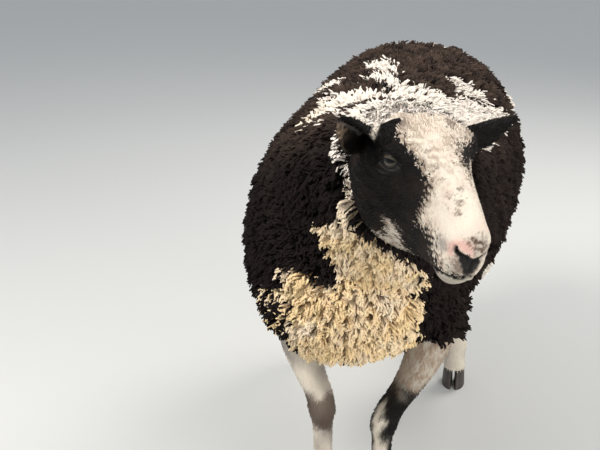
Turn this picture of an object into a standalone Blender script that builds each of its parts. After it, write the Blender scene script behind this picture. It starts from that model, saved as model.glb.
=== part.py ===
"""A Dutch spotted sheep, a ewe in full fleece, standing with her head turned to her left.

Metres, +Z up. She faces -Y and her left side is +X. The floor is at Z = 0, and the origin is
the middle of her outline on the floor.
"""

import math

import bmesh
import bpy
import numpy as np
from mathutils import Matrix, Vector

# Driving dimensions, in metres and degrees

# From the middle of the shoulders and hips to the middle of the whole outline
BODY_SHIFT = Vector((0.010, 0.096, 0.0))
# The gap between two solids that touch
GAP = 0.0003
# How far below the mean outline of the wool its solid core lies
CORE_INSET = 0.024
# Clumps of wool: distance from one to the next on each part, and their build against it
TRUNK_CLUMP_SPACING = 0.128
LEG_CLUMP_SPACING = 0.088
TAIL_CLUMP_SPACING = 0.072
CLUMP_REACH = 0.70
CLUMP_SINK = 0.022
CLUMP_SIDES = 6
SMALL_CLUMP_SIDES = 5
CLUMP_VARIES = 0.14
# How far the tips stand past the mean outline, and how much less some of them do
TIP_RISE = 0.003
TIP_VARIES = 0.006
# How far the clumps lean the way the wool lies, back and down
WOOL_LIE = Vector((0.0, 0.16, -0.20))
# Places tried for clumps, rounds of evening them out, and the seed of their variation
CANDIDATES = 6000
EVENING_ROUNDS = 12
SEED = 41

# The barrel: shift to the left, place along the back, half width, top, bottom, widest line,
# squareness of the back and of the belly
BARREL_STATIONS = (
    (-0.012, -0.462, 0.020, 0.560, 0.500, 0.530, 2.0, 2.0),
    (-0.010, -0.448, 0.085, 0.640, 0.425, 0.520, 2.0, 2.0),
    (-0.014, -0.400, 0.146, 0.700, 0.368, 0.500, 1.95, 1.9),
    (-0.021, -0.320, 0.184, 0.748, 0.345, 0.495, 1.9, 1.8),
    (-0.023, -0.200, 0.225, 0.780, 0.340, 0.500, 1.9, 1.65),
    (-0.019, -0.060, 0.249, 0.784, 0.332, 0.510, 1.85, 1.5),
    (-0.005, 0.090, 0.258, 0.780, 0.334, 0.530, 1.85, 1.55),
    (0.012, 0.230, 0.252, 0.782, 0.345, 0.560, 2.1, 2.0),
    (0.014, 0.360, 0.224, 0.786, 0.370, 0.590, 2.3, 2.4),
    (0.010, 0.440, 0.188, 0.780, 0.410, 0.610, 2.4, 2.4),
    (0.008, 0.494, 0.128, 0.750, 0.480, 0.620, 2.3, 2.2),
    (0.010, 0.516, 0.020, 0.670, 0.560, 0.610, 2.0, 2.0),
)
# How far the underside hangs to her right
BELLY_LEAN = -0.036
BARREL_RINGS = 22
BARREL_SIDES = 28

# The neck: middle of the ring, half width, reach to the crest, reach to the throat
NECK_STATIONS = (
    ((0.000, -0.140, 0.600), 0.200, 0.150, 0.190),
    ((0.012, -0.260, 0.640), 0.185, 0.150, 0.190),
    ((0.035, -0.370, 0.700), 0.148, 0.122, 0.174),
    ((0.060, -0.460, 0.745), 0.112, 0.095, 0.134),
    ((0.076, -0.535, 0.778), 0.086, 0.072, 0.098),
    ((0.083, -0.575, 0.796), 0.062, 0.050, 0.066),
)
NECK_RINGS = 14
NECK_SIDES = 24
NECK_SEAM_AT = Vector((0.0, -0.340, 0.645))
NECK_SEAM_FACING = Vector((0.0, -0.771, 0.638))

# The head: place of the poll, and turn to the left, nose down, and tilt
HEAD_AT = Vector((0.081, -0.552, 0.883))
HEAD_TURN = 22.9
HEAD_NOD = 22.9
HEAD_TILT = 3.8
HEAD_SIZE = 1.00
# Along the face from the poll, half width, top, bottom, height of the widest line, jaw taper
HEAD_STATIONS = (
    (-0.030, 0.030, -0.085, -0.128, -0.105, 0.00),
    (-0.024, 0.046, -0.070, -0.152, -0.105, 0.00),
    (-0.005, 0.060, -0.050, -0.176, -0.100, 0.00),
    (0.025, 0.068, -0.028, -0.203, -0.092, 0.00),
    (0.055, 0.068, -0.010, -0.210, -0.080, 0.02),
    (0.080, 0.0640, 0.000, -0.202, -0.060, 0.06),
    (0.105, 0.0550, 0.004, -0.188, -0.045, 0.11),
    (0.135, 0.0390, 0.006, -0.168, -0.045, 0.14),
    (0.170, 0.0300, 0.005, -0.144, -0.048, 0.13),
    (0.205, 0.0262, 0.001, -0.1240, -0.050, 0.08),
    (0.232, 0.0250, -0.004, -0.112, -0.052, 0.05),
    (0.250, 0.0235, -0.010, -0.102, -0.054, 0.05),
    (0.262, 0.019, -0.020, -0.088, -0.053, 0.05),
    (0.269, 0.011, -0.034, -0.070, -0.052, 0.03),
    (0.271, 0.002, -0.048, -0.055, -0.051, 0.00),
)
HEAD_RINGS = 84
HEAD_SIDES = 72
HEAD_TRIANGLES = 2600
FEATURES_KEPT = 0.75

# Eyes: radius, middle in the head's frame and the way they look (left eye; x, along, out)
EYE_RADIUS = 0.0148
EYE_AT = Vector((0.0415, 0.0960, -0.0430))
EYE_LOOKS = Vector((0.84, 0.50, 0.20)).normalized()
LID_THICKNESS = 0.0022
FISSURE_HALF_WIDTH = 0.0145
FISSURE_HALF_HEIGHT = 0.0085

# Ears: root in the head's frame, length, greatest half width, wall
EAR_ROOT = Vector((0.059, 0.030, -0.052))
LEFT_EAR_POINTS = Vector((0.94, -0.23, 0.26))
LEFT_EAR_OPENS = Vector((0.28, 0.66, -0.70))
RIGHT_EAR_POINTS = Vector((-0.59, 0.42, 0.69))
RIGHT_EAR_OPENS = Vector((-0.03, 0.84, -0.54))
EAR_LENGTH = 0.108
EAR_HALF_WIDTH = 0.031
EAR_WALL = 0.0045

# Legs: middle of the ring, half width, half depth fore and aft, from the top down
RIGHT_FORELEG = (
    ((-0.130, -0.266, 0.470), 0.040, 0.060),
    ((-0.133, -0.268, 0.400), 0.039, 0.056),
    ((-0.122, -0.276, 0.348), 0.034, 0.047),
    ((-0.103, -0.290, 0.300), 0.0270, 0.036),
    ((-0.083, -0.303, 0.262), 0.0250, 0.0290),
    ((-0.077, -0.309, 0.236), 0.0250, 0.0285),
    ((-0.076, -0.308, 0.212), 0.0190, 0.0230),
    ((-0.075, -0.306, 0.160), 0.0172, 0.0208),
    ((-0.075, -0.305, 0.118), 0.0184, 0.0220),
    ((-0.075, -0.304, 0.094), 0.0240, 0.0280),
    ((-0.075, -0.313, 0.070), 0.0212, 0.0232),
    ((-0.075, -0.323, 0.046), 0.0265, 0.0300),
)
LEFT_FORELEG = (
    ((0.108, -0.276, 0.470), 0.040, 0.060),
    ((0.110, -0.280, 0.400), 0.039, 0.056),
    ((0.098, -0.291, 0.350), 0.034, 0.047),
    ((0.072, -0.311, 0.300), 0.0270, 0.036),
    ((0.046, -0.330, 0.262), 0.0250, 0.0290),
    ((0.038, -0.335, 0.238), 0.0250, 0.0285),
    ((0.036, -0.334, 0.214), 0.0190, 0.0230),
    ((0.035, -0.332, 0.160), 0.0172, 0.0208),
    ((0.035, -0.331, 0.118), 0.0184, 0.0220),
    ((0.035, -0.330, 0.094), 0.0240, 0.0280),
    ((0.035, -0.339, 0.070), 0.0212, 0.0232),
    ((0.035, -0.349, 0.046), 0.0265, 0.0300),
)
LEFT_HIND_LEG = (
    ((0.146, 0.236, 0.480), 0.046, 0.078),
    ((0.150, 0.240, 0.430), 0.052, 0.086),
    ((0.158, 0.245, 0.380), 0.060, 0.092),
    ((0.161, 0.250, 0.345), 0.060, 0.086),
    ((0.160, 0.262, 0.300), 0.049, 0.067),
    ((0.153, 0.284, 0.258), 0.035, 0.046),
    ((0.150, 0.294, 0.234), 0.0285, 0.0370),
    ((0.148, 0.288, 0.205), 0.0215, 0.0275),
    ((0.147, 0.274, 0.160), 0.0200, 0.0240),
    ((0.146, 0.262, 0.118), 0.0205, 0.0245),
    ((0.146, 0.255, 0.094), 0.0260, 0.0300),
    ((0.146, 0.246, 0.070), 0.0225, 0.0250),
    ((0.146, 0.236, 0.046), 0.0270, 0.0305),
)
RIGHT_HIND_SHIFT = Vector((0.004, 0.075, 0.0))
LEG_RINGS = 20
LEG_SIDES = 12
WOOL_ENDS_AT = 0.275
BREECHES_TOP = 0.385

# The claws of each foot
CLAW_LENGTH = 0.062
CLAW_WIDTH = 0.0245
CLAW_TOE_HEIGHT = 0.040
CLAW_HEEL_HEIGHT = 0.028
CLEFT = 0.0040

# The tail: middle of the ring, half width, half depth
TAIL_STATIONS = (
    ((0.008, 0.470, 0.728), 0.044, 0.032),
    ((0.008, 0.506, 0.706), 0.054, 0.040),
    ((0.010, 0.532, 0.650), 0.056, 0.042),
    ((0.012, 0.544, 0.580), 0.050, 0.038),
    ((0.014, 0.548, 0.510), 0.040, 0.031),
    ((0.016, 0.547, 0.460), 0.028, 0.024),
    ((0.016, 0.546, 0.438), 0.013, 0.012),
)
TAIL_INSET = 0.016
TAIL_RINGS = 12
TAIL_SIDES = 10


def clear_scene():
    """Removes every object, so that the model starts from nothing."""
    for obj in list(bpy.data.objects):
        bpy.data.objects.remove(obj, do_unlink=True)


def make_material(name, colour, roughness):
    """A plain Principled material."""
    mat = bpy.data.materials.new(name)
    mat.use_nodes = True
    shader = mat.node_tree.nodes["Principled BSDF"]
    shader.inputs["Base Color"].default_value = (*colour, 1.0)
    shader.inputs["Roughness"].default_value = roughness
    shader.inputs["Metallic"].default_value = 0.0
    return mat


def through(places, values, at):
    """A smooth curve through the values, which never swings past them."""
    places = np.asarray(places, float)
    values = np.asarray(values, float)
    at = np.clip(at, places[0], places[-1])
    step = np.diff(places)
    slope = np.diff(values) / step
    tangent = np.zeros(len(values))
    same_way = slope[1:] * slope[:-1] > 0
    weight_a = 2 * step[1:] + step[:-1]
    weight_b = step[1:] + 2 * step[:-1]
    safe = np.where(same_way, slope[1:] * slope[:-1], 1.0)
    mean = (weight_a + weight_b) * safe / (weight_a * slope[1:] + weight_b * slope[:-1] + 1e-30)
    tangent[1:-1] = np.where(same_way, mean, 0.0)
    tangent[0] = slope[0]
    tangent[-1] = slope[-1]
    k = np.clip(np.searchsorted(places, at, side="right") - 1, 0, len(step) - 1)
    h = step[k]
    t = (at - places[k]) / h
    rise = values[k] * (1 + 2 * t) * (1 - t) ** 2 + values[k + 1] * t * t * (3 - 2 * t)
    return rise + h * (tangent[k] * t * (1 - t) ** 2 - tangent[k + 1] * t * t * (1 - t))


def along(stations, count, crowd_ends=False):
    """The station values at evenly spread places, crowded towards both ends if asked."""
    table = [np.hstack([np.atleast_1d(part) for part in row]) for row in stations]
    table = np.array(table)
    steps = np.linalg.norm(np.diff(table[:, :3], axis=0), axis=1)
    places = np.concatenate([[0.0], np.cumsum(steps)])
    share = np.linspace(0.0, 1.0, count)
    if crowd_ends:
        share = 0.5 - 0.5 * np.cos(math.pi * share)
    at = share * places[-1]
    columns = [through(places, table[:, c], at) for c in range(table.shape[1])]
    return np.stack(columns, axis=1)


def closed_skin(rings):
    """Vertices and faces of a tube through the rings, closed at both ends by a pole."""
    rings = np.asarray(rings, float)
    count, sides, _ = rings.shape
    verts = [rings[0].mean(axis=0)]
    verts.extend(rings.reshape(-1, 3))
    verts.append(rings[-1].mean(axis=0))
    last = len(verts) - 1
    faces = []
    for s in range(sides):
        faces.append((0, 1 + (s + 1) % sides, 1 + s))
    for r in range(count - 1):
        for s in range(sides):
            a = 1 + r * sides + s
            b = 1 + r * sides + (s + 1) % sides
            faces.append((a, b, b + sides, a + sides))
    for s in range(sides):
        a = 1 + (count - 1) * sides
        faces.append((last, a + s, a + (s + 1) % sides))
    return np.array(verts), faces


def add_solid(name, verts, faces, mat=None):
    """A mesh object whose faces all point outwards."""
    mesh = bpy.data.meshes.new(name)
    mesh.from_pydata([tuple(v) for v in verts], [], faces)
    work = bmesh.new()
    work.from_mesh(mesh)
    bmesh.ops.recalc_face_normals(work, faces=work.faces)
    bmesh.ops.triangulate(work, faces=work.faces)
    work.to_mesh(mesh)
    work.free()
    obj = bpy.data.objects.new(name, mesh)
    bpy.context.scene.collection.objects.link(obj)
    if mat is not None:
        mesh.materials.append(mat)
    return obj


def drop(*objects):
    """Removes helper objects."""
    for obj in objects:
        bpy.data.objects.remove(obj, do_unlink=True)


def apply_modifiers(obj):
    """Turns an object's modifiers into its mesh."""
    bpy.context.view_layer.update()
    graph = bpy.context.evaluated_depsgraph_get()
    mesh = bpy.data.meshes.new_from_object(obj.evaluated_get(graph))
    obj.modifiers.clear()
    obj.data = mesh


def combine(obj, operation, other):
    """Joins, cuts or keeps the shared part of two solids, and applies it."""
    tool = obj.modifiers.new("Combine", "BOOLEAN")
    tool.operation = operation
    tool.object = other
    tool.solver = "MANIFOLD"
    apply_modifiers(obj)


def fuse(obj, pieces):
    """Fuses a solid with many pieces in one union, then removes the pieces."""
    group = bpy.data.collections.new(obj.name + "_pieces")
    bpy.context.scene.collection.children.link(group)
    for piece in pieces:
        bpy.context.scene.collection.objects.unlink(piece)
        group.objects.link(piece)
    tool = obj.modifiers.new("Fuse", "BOOLEAN")
    tool.operation = "UNION"
    tool.operand_type = "COLLECTION"
    tool.collection = group
    tool.solver = "MANIFOLD"
    apply_modifiers(obj)
    drop(*pieces)
    bpy.data.collections.remove(group)


def keep_largest(obj):
    """Keeps only the largest closed surface of a solid."""
    work = bmesh.new()
    work.from_mesh(obj.data)
    unseen = set(work.faces)
    shells = []
    while unseen:
        first = unseen.pop()
        shell = [first]
        waiting = [first]
        while waiting:
            face = waiting.pop()
            for edge in face.edges:
                for neighbour in edge.link_faces:
                    if neighbour in unseen:
                        unseen.remove(neighbour)
                        shell.append(neighbour)
                        waiting.append(neighbour)
        shells.append(shell)
    shells.sort(key=lambda shell: sum(face.calc_area() for face in shell))
    spare = [face for shell in shells[:-1] for face in shell]
    bmesh.ops.delete(work, geom=spare, context="FACES")
    work.to_mesh(obj.data)
    work.free()


def oval(width, top, bottom, middle, sides, upper=2.0, lower=2.0):
    """Points of a ring, as offset to the left and height, that is squarer where asked."""
    turn = np.arange(sides) * 2 * math.pi / sides
    c = np.cos(turn)
    s = np.sin(turn)
    power = np.where(s > 0, 2.0 / upper, 2.0 / lower)
    reach = np.where(s > 0, top - middle, middle - bottom)
    left = width * np.sign(c) * np.abs(c) ** power
    height = middle + reach * np.sign(s) * np.abs(s) ** power
    return left, height


def barrel_solid(name, inset):
    """The trunk, from the chest to the rump, this far inside the tips of the wool."""
    rings = []
    first = BARREL_STATIONS[0][1]
    last = BARREL_STATIONS[-1][1]
    for row in along(BARREL_STATIONS, BARREL_RINGS, True):
        shift, place, width, top, bottom, middle, back, belly = row
        left, height = oval(
            max(width - inset, 0.004),
            max(top - inset, middle + 0.004),
            min(bottom + inset, middle - 0.004),
            middle,
            BARREL_SIDES,
            upper=back,
            lower=belly,
        )
        share = (place - first) / (last - first)
        y = first + inset + share * (last - first - 2 * inset)
        low = np.clip((middle - height) / (middle - bottom), 0.0, 1.0)
        left = left + shift + BELLY_LEAN * low
        rings.append(np.stack([left, np.full_like(left, y), height], axis=1))
    return add_solid(name, *closed_skin(rings))


def tube_rings(stations, count, sides, shape):
    """Rings set square to the line through the stations' middles."""
    rows = along(stations, count)
    middles = rows[:, :3]
    ways = np.gradient(middles, axis=0)
    rings = []
    for middle, way, row in zip(middles, ways, rows):
        way = way / np.linalg.norm(way)
        side = np.cross(way, (0.0, 0.0, 1.0))
        if np.linalg.norm(side) < 0.3:
            side = np.array((1.0, 0.0, 0.0))
        side[2] = 0.0
        side = side / np.linalg.norm(side)
        if side[0] < 0:
            side = -side
        out = np.cross(side, way)
        rings.append(shape(middle, side, out, row[3:], sides))
    return rings


def neck_solid(name, inset):
    """The neck, from inside the shoulders to behind the cheeks."""

    def shape(middle, side, out, sizes, sides):
        width, crest, throat = np.maximum(sizes - inset, 0.012)
        if out[2] < 0:
            out = -out
        left, height = oval(width, crest, -throat, 0.0, sides)
        return middle + left[:, None] * side + height[:, None] * out

    rings = tube_rings(NECK_STATIONS, NECK_RINGS, NECK_SIDES, shape)
    return add_solid(name, *closed_skin(rings))


def scattered(surface, spacing, keep, draw):
    """Places spread evenly over a surface, with its outward direction at each."""
    mesh = surface.data
    mesh.calc_loop_triangles()
    corners = np.array([v.co[:] for v in mesh.vertices])
    outward = np.array([v.normal[:] for v in mesh.vertices])
    tris = np.array([t.vertices[:] for t in mesh.loop_triangles])
    a, b, c = corners[tris[:, 0]], corners[tris[:, 1]], corners[tris[:, 2]]
    areas = np.linalg.norm(np.cross(b - a, c - a), axis=1) / 2
    which = draw.choice(len(tris), CANDIDATES, p=areas / areas.sum())
    r = np.sqrt(draw.random(CANDIDATES))[:, None]
    q = draw.random(CANDIDATES)[:, None]
    shares = (1 - r, r * (1 - q), r * q)
    places = sum(k * corners[tris[which, i]] for i, k in enumerate(shares))
    ways = sum(k * outward[tris[which, i]] for i, k in enumerate(shares))
    kept = np.array([keep(place) for place in places])
    places = places[kept]
    ways = ways[kept] / np.linalg.norm(ways[kept], axis=1)[:, None]
    area = areas.sum() * kept.mean()
    count = max(int(area / (spacing**2 * math.sqrt(3) / 2)), 3)
    chosen = [0]
    away = np.linalg.norm(places - places[0], axis=1)
    while len(chosen) < count:
        farthest = int(away.argmax())
        chosen.append(farthest)
        away = np.minimum(away, np.linalg.norm(places - places[farthest], axis=1))
    chosen = np.array(chosen)
    for _ in range(EVENING_ROUNDS):
        apart = np.linalg.norm(places[:, None] - places[None, chosen], axis=2)
        owner = apart.argmin(axis=1)
        for k in range(count):
            own = np.flatnonzero(owner == k)
            middle = places[own].mean(axis=0)
            chosen[k] = own[np.linalg.norm(places[own] - middle, axis=1).argmin()]
    return places[chosen], ways[chosen]


def clump_solid(place, way, reach, height, sides, draw):
    """One rounded clump of wool, its root sunk in the core."""
    lie = Vector(way) + WOOL_LIE
    turn = lie.normalized().to_track_quat("Z", "Y").to_matrix()
    spin = draw.random() * 2 * math.pi
    tall = height + CLUMP_SINK
    rings = []
    for polar, twist in ((42, 0.0), (80, 0.5), (122, 0.0)):
        angle = math.radians(polar)
        turns = spin + (np.arange(sides) + twist) * 2 * math.pi / sides
        wide = reach * math.sin(angle) * (1 + CLUMP_VARIES * (draw.random(sides) - 0.5))
        level = np.full(sides, tall * math.cos(angle))
        rings.append(np.stack([wide * np.cos(turns), wide * np.sin(turns), level], axis=1))
    verts, faces = closed_skin(rings)
    verts[0] = (0.0, 0.0, tall)
    verts[-1] = (0.0, 0.0, -tall)
    middle = np.asarray(place) - np.asarray(way) * CLUMP_SINK
    return add_solid("clump", verts @ np.array(turn).T + middle, faces)


def grow_wool(core, spacing, depth, sides, keep, draw):
    """Covers a core with clumps of wool and fuses them with it."""
    clumps = []
    for place, way in zip(*scattered(core, spacing, keep, draw)):
        reach = spacing * CLUMP_REACH * (1 + CLUMP_VARIES * (draw.random() - 0.5))
        height = depth - TIP_VARIES * draw.random()
        clumps.append(clump_solid(place, way, reach, height, sides, draw))
    fuse(core, clumps)
    keep_largest(core)


def seam_block(facing_gap):
    """A large block in front of the seam between neck and trunk."""
    work = bmesh.new()
    bmesh.ops.create_cube(work, size=2.0)
    mesh = bpy.data.meshes.new("seam_block")
    work.to_mesh(mesh)
    work.free()
    facing = NECK_SEAM_FACING.normalized()
    turn = facing.to_track_quat("Z", "Y").to_matrix().to_4x4()
    middle = NECK_SEAM_AT + facing * (1.0 + facing_gap)
    mesh.transform(Matrix.Translation(middle) @ turn)
    block = bpy.data.objects.new("seam_block", mesh)
    bpy.context.scene.collection.objects.link(block)
    return block


def head_frame():
    """Turns head measures (left, along the face, out of it) into places on the sheep."""
    turn = Matrix.Rotation(math.radians(HEAD_TURN), 4, "Z")
    nod = Matrix.Rotation(math.radians(HEAD_NOD), 4, "X")
    tilt = Matrix.Rotation(math.radians(HEAD_TILT), 4, "Y")
    flip = Matrix.Diagonal((HEAD_SIZE, -HEAD_SIZE, HEAD_SIZE, 1.0))
    return Matrix.Translation(HEAD_AT) @ turn @ nod @ tilt @ flip


def to_world(points, frame):
    """Carries an array of points through a frame."""
    matrix = np.array(frame)
    return points @ matrix[:3, :3].T + matrix[:3, 3]


def near(points, at, spread):
    """One at a place and fading to nothing with distance."""
    away = (points - np.asarray(at)) / np.asarray(spread)
    return np.exp(-(away**2).sum(axis=1))


def near_line(points, line, spread):
    """One along a line of places and fading to nothing beside it."""
    best = np.full(len(points), 1e9)
    for a, b in zip(line[:-1], line[1:]):
        a = np.asarray(a, float)
        b = np.asarray(b, float)
        step = b - a
        share = np.clip(((points - a) @ step) / (step @ step), 0.0, 1.0)
        away = np.linalg.norm(points - a - share[:, None] * step, axis=1)
        best = np.minimum(best, away)
    return np.exp(-((best / spread) ** 2))


def mirrored(at, side):
    """A place on the left side, or its twin on the right."""
    return np.array((at[0] * side, at[1], at[2]))


# The line of the mouth, from the middle to its left corner
MOUTH = (
    (0.0000, 0.2700, -0.0685),
    (0.0080, 0.2668, -0.0742),
    (0.0150, 0.2600, -0.0780),
    (0.0195, 0.2500, -0.0825),
    (0.0230, 0.2350, -0.0900),
    (0.0260, 0.2200, -0.0955),
)
# The nostril's slit, from the philtrum up and round its wing
NOSTRIL = (
    (0.0025, 0.2690, -0.0458),
    (0.0050, 0.2682, -0.0446),
    (0.0092, 0.2664, -0.0412),
    (0.0142, 0.2639, -0.0397),
    (0.0182, 0.2608, -0.0379),
    (0.0170, 0.2588, -0.0348),
)
# The groove from the inner corner of the eye towards the cheek
TEAR_GROOVE = (
    (0.0460, 0.1145, -0.0350),
    (0.0440, 0.1257, -0.0391),
    (0.0415, 0.1330, -0.0437),
    (0.0385, 0.1460, -0.0520),
)


def raise_features(points, normals):
    """Raises and hollows the plain head into brow, cheeks, nostrils, lips and chin."""
    moved = points.copy()

    def push(amount, weight):
        nonlocal moved
        moved = moved + normals * (amount * weight)[:, None]

    for side in (-1, 1):
        push(0.0050, near(points, mirrored((0.050, 0.090, -0.021), side), (0.018, 0.024, 0.012)))
        push(-0.0030, near(points, mirrored((0.056, 0.062, -0.028), side), (0.02, 0.018, 0.016)))
        push(0.0040, near(points, mirrored((0.048, 0.070, -0.095), side), (0.03, 0.035, 0.035)))
        push(0.0022, near(points, mirrored((0.046, 0.130, -0.070), side), (0.02, 0.022, 0.010)))
        push(-0.0025, near(points, mirrored((0.038, 0.175, -0.078), side), (0.02, 0.030, 0.018)))
        push(0.0030, near(points, mirrored((0.026, 0.246, -0.034), side), (0.01, 0.013, 0.012)))
        push(0.0022, near(points, mirrored((0.030, 0.236, -0.060), side), (0.014, 0.02, 0.010)))
        push(0.0018, near(points, mirrored((0.024, 0.236, -0.088), side), (0.014, 0.02, 0.010)))
        groove = [mirrored(at, side) for at in TEAR_GROOVE]
        push(-0.0022, near_line(points, groove, 0.0045))
        slit = [mirrored(at, side) for at in NOSTRIL]
        push(-0.0065, near_line(points, slit, 0.0036))
        lips = [mirrored(at, side) for at in MOUTH]
        push(-0.0034, near_line(points, lips, 0.0026))
    push(0.0025, near(points, (0.0, 0.236, -0.104), (0.018, 0.016, 0.012)))
    push(-0.0020, near_line(points, ((0, 0.272, -0.040), (0, 0.270, -0.060)), 0.0026))
    push(-0.0040, near(points, (0.0, 0.150, -0.122), (0.016, 0.045, 0.020)))
    return moved


def fading(values, edge, sharpness):
    """One below an edge and nothing above it, with a soft step."""
    return 0.5 - 0.5 * np.tanh((values - edge) * sharpness / 2)


def lid_points(points):
    """Lays the skin over each eyeball as lids, and opens the fissure between them."""
    moved = points.copy()
    level = np.array(head_frame())[2, :3]
    level = level / np.linalg.norm(level)
    for side in (-1, 1):
        middle = mirrored(EYE_AT, side)
        looks = mirrored(EYE_LOOKS, side)
        upwards = level - looks * (looks @ level)
        upwards = upwards / np.linalg.norm(upwards)
        across = np.cross(upwards, looks)
        away = moved - middle
        distance = np.linalg.norm(away, axis=1)
        facing = (away @ looks) / np.maximum(distance, 1e-6)
        u = away @ across
        v = away @ upwards
        inside = (u / FISSURE_HALF_WIDTH) ** 2 + (v / FISSURE_HALF_HEIGHT) ** 2
        lid = EYE_RADIUS + LID_THICKNESS
        opening = fading(inside, 1.0, 9.0)
        wanted = lid - opening * (LID_THICKNESS + 0.0040)
        over = facing > 0.2
        lift = np.where(over & (distance < lid), lid, distance)
        hold = fading(inside, 2.2, 3.0)
        target = lift * (1 - hold) + wanted * hold
        target = np.where(over, target, distance)
        moved = middle + away * (target / np.maximum(distance, 1e-6))[:, None]
    return moved


def detail_of(points):
    """One where the head has fine features, nought where it is plain."""
    share = np.zeros(len(points))
    for side in (-1, 1):
        share = np.maximum(share, near(points, mirrored(EYE_AT, side), (0.020, 0.020, 0.018)))
        for line in (NOSTRIL, MOUTH):
            places = [mirrored(at, side) for at in line]
            share = np.maximum(share, near_line(points, places, 0.009))
    return share


def head_shape(rings_wanted, sides_wanted):
    """Rings of the head in its own frame, before its features."""
    rows = along([(row[0], 0.0, 0.0) + row[1:] for row in HEAD_STATIONS], rings_wanted, True)
    rings = []
    for row in rows:
        place, width, top, bottom, middle, taper = row[0], row[3], row[4], row[5], row[6], row[7]
        left, height = oval(
            width, top, bottom, middle, sides_wanted, upper=2.5, lower=2.2
        )
        low = np.clip((middle - height) / (middle - bottom + 1e-6), 0.0, 1.0)
        left = left * (1.0 - taper * low**1.5)
        rings.append(np.stack([left, np.full_like(left, place), height], axis=1))
    return rings


def head_solid(name, mat):
    """The head with its features, from fine rings thinned to fewer faces."""
    verts, faces = closed_skin(head_shape(HEAD_RINGS, HEAD_SIDES))
    draft = add_solid("head_draft", verts, faces)
    normals = np.array([v.normal[:] for v in draft.data.vertices])
    draft_points = np.array([v.co[:] for v in draft.data.vertices])
    points = lid_points(raise_features(draft_points, normals))
    points = to_world(points, head_frame())
    drop(draft)
    head = add_solid(name, points, faces, mat)
    plain = head.vertex_groups.new(name="plain")
    for index, share in enumerate(detail_of(draft_points)):
        plain.add([index], 1.0 - FEATURES_KEPT * share, "REPLACE")
    thin = head.modifiers.new("Thin", "DECIMATE")
    thin.ratio = HEAD_TRIANGLES / len(head.data.polygons)
    thin.vertex_group = plain.name
    apply_modifiers(head)
    return head


def grown_copy(obj, name):
    """A copy of a solid, larger all round by the gap and a hair more."""
    copy = bpy.data.objects.new(name, obj.data.copy())
    bpy.context.scene.collection.objects.link(copy)
    for vertex in copy.data.vertices:
        vertex.co = vertex.co + obj.data.vertices[vertex.index].normal * (GAP * 1.3)
    return copy


def eyeball(name, side, radius, mat=None):
    """A round eye in its socket."""
    work = bmesh.new()
    bmesh.ops.create_uvsphere(work, u_segments=12, v_segments=8, radius=radius)
    mesh = bpy.data.meshes.new(name)
    work.to_mesh(mesh)
    work.free()
    at = to_world(mirrored(EYE_AT, side)[None, :], head_frame())[0]
    mesh.transform(Matrix.Translation(Vector(at)))
    obj = bpy.data.objects.new(name, mesh)
    bpy.context.scene.collection.objects.link(obj)
    if mat is not None:
        mesh.materials.append(mat)
    return obj


def ear_frame(side):
    """Axes of an ear: its root, the way it points, up across it, and the way its cup opens."""
    frame = head_frame()
    spin = np.array(frame)[:3, :3]
    out = spin @ np.array(LEFT_EAR_POINTS if side > 0 else RIGHT_EAR_POINTS)
    opens = spin @ np.array(LEFT_EAR_OPENS if side > 0 else RIGHT_EAR_OPENS)
    out = out / np.linalg.norm(out)
    opens = opens - out * (opens @ out)
    opens = opens / np.linalg.norm(opens)
    across = np.cross(opens, out)
    root = to_world(mirrored(EAR_ROOT, side)[None, :], frame)[0]
    return root, out, across, opens


def ear_solid(name, side, mat):
    """A cupped leaf of even wall, rolled nearly shut at its root."""
    root, out, across, opens = ear_frame(side)
    lengths = 9
    widths = 8
    layers = []
    for wall in (0.0, EAR_WALL):
        grid = []
        for i in range(lengths):
            share = i / (lengths - 1)
            span = EAR_HALF_WIDTH * (0.55 + 0.45 * math.sin(math.pi * min(share * 1.35, 0.5 + 0.5 * share)))
            span *= math.sqrt(max(1.0 - share**3.2, 0.012))
            curl = math.radians(140 - 75 * share)
            radius = span / curl * 1.5
            row = []
            for j in range(widths):
                angle = curl * (2 * j / (widths - 1) - 1)
                r = max(radius - wall, radius * 0.35)
                droop = -0.010 * share**2
                place = root + out * (EAR_LENGTH * share - 0.014)
                place = place + across * (r * math.sin(angle)) + opens * (radius - r * math.cos(angle))
                place = place + np.array((0.0, 0.0, droop))
                row.append(place)
            grid.append(row)
        layers.append(np.array(grid))
    outer, inner = layers
    verts = np.concatenate([outer.reshape(-1, 3), inner.reshape(-1, 3)])
    half = lengths * widths
    faces = []
    for i in range(lengths - 1):
        for j in range(widths - 1):
            a = i * widths + j
            quad = (a, a + 1, a + widths + 1, a + widths)
            faces.append((quad[0], quad[1], quad[2]))
            faces.append((quad[0], quad[2], quad[3]))
            faces.append((half + quad[2], half + quad[1], half + quad[0]))
            faces.append((half + quad[3], half + quad[2], half + quad[0]))
    border = [j for j in range(widths)]
    border += [i * widths + widths - 1 for i in range(1, lengths)]
    border += [(lengths - 1) * widths + j for j in range(widths - 2, -1, -1)]
    border += [i * widths for i in range(lengths - 2, 0, -1)]
    for a, b in zip(border, border[1:] + border[:1]):
        faces.append((a, b, half + b, half + a))
    return add_solid(name, verts, faces, mat)


def leg_solid(name, stations, mat, core_inset=0.0):
    """A leg from inside the body down to its coronet."""
    rows = along(stations, LEG_RINGS)
    turn = np.arange(LEG_SIDES) * 2 * math.pi / LEG_SIDES
    rings = []
    for row in rows:
        wool = core_inset * smooth_step(WOOL_ENDS_AT, WOOL_ENDS_AT + 0.04, row[2])
        wool *= 1.0 - smooth_step(0.36, 0.40, row[2])
        wide = row[3] - wool
        deep = row[4] - wool
        x = row[0] + wide * np.cos(turn)
        y = row[1] + deep * np.sin(turn)
        rings.append(np.stack([x, y, np.full_like(x, row[2])], axis=1))
    return add_solid(name, *closed_skin(rings), mat)


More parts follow.
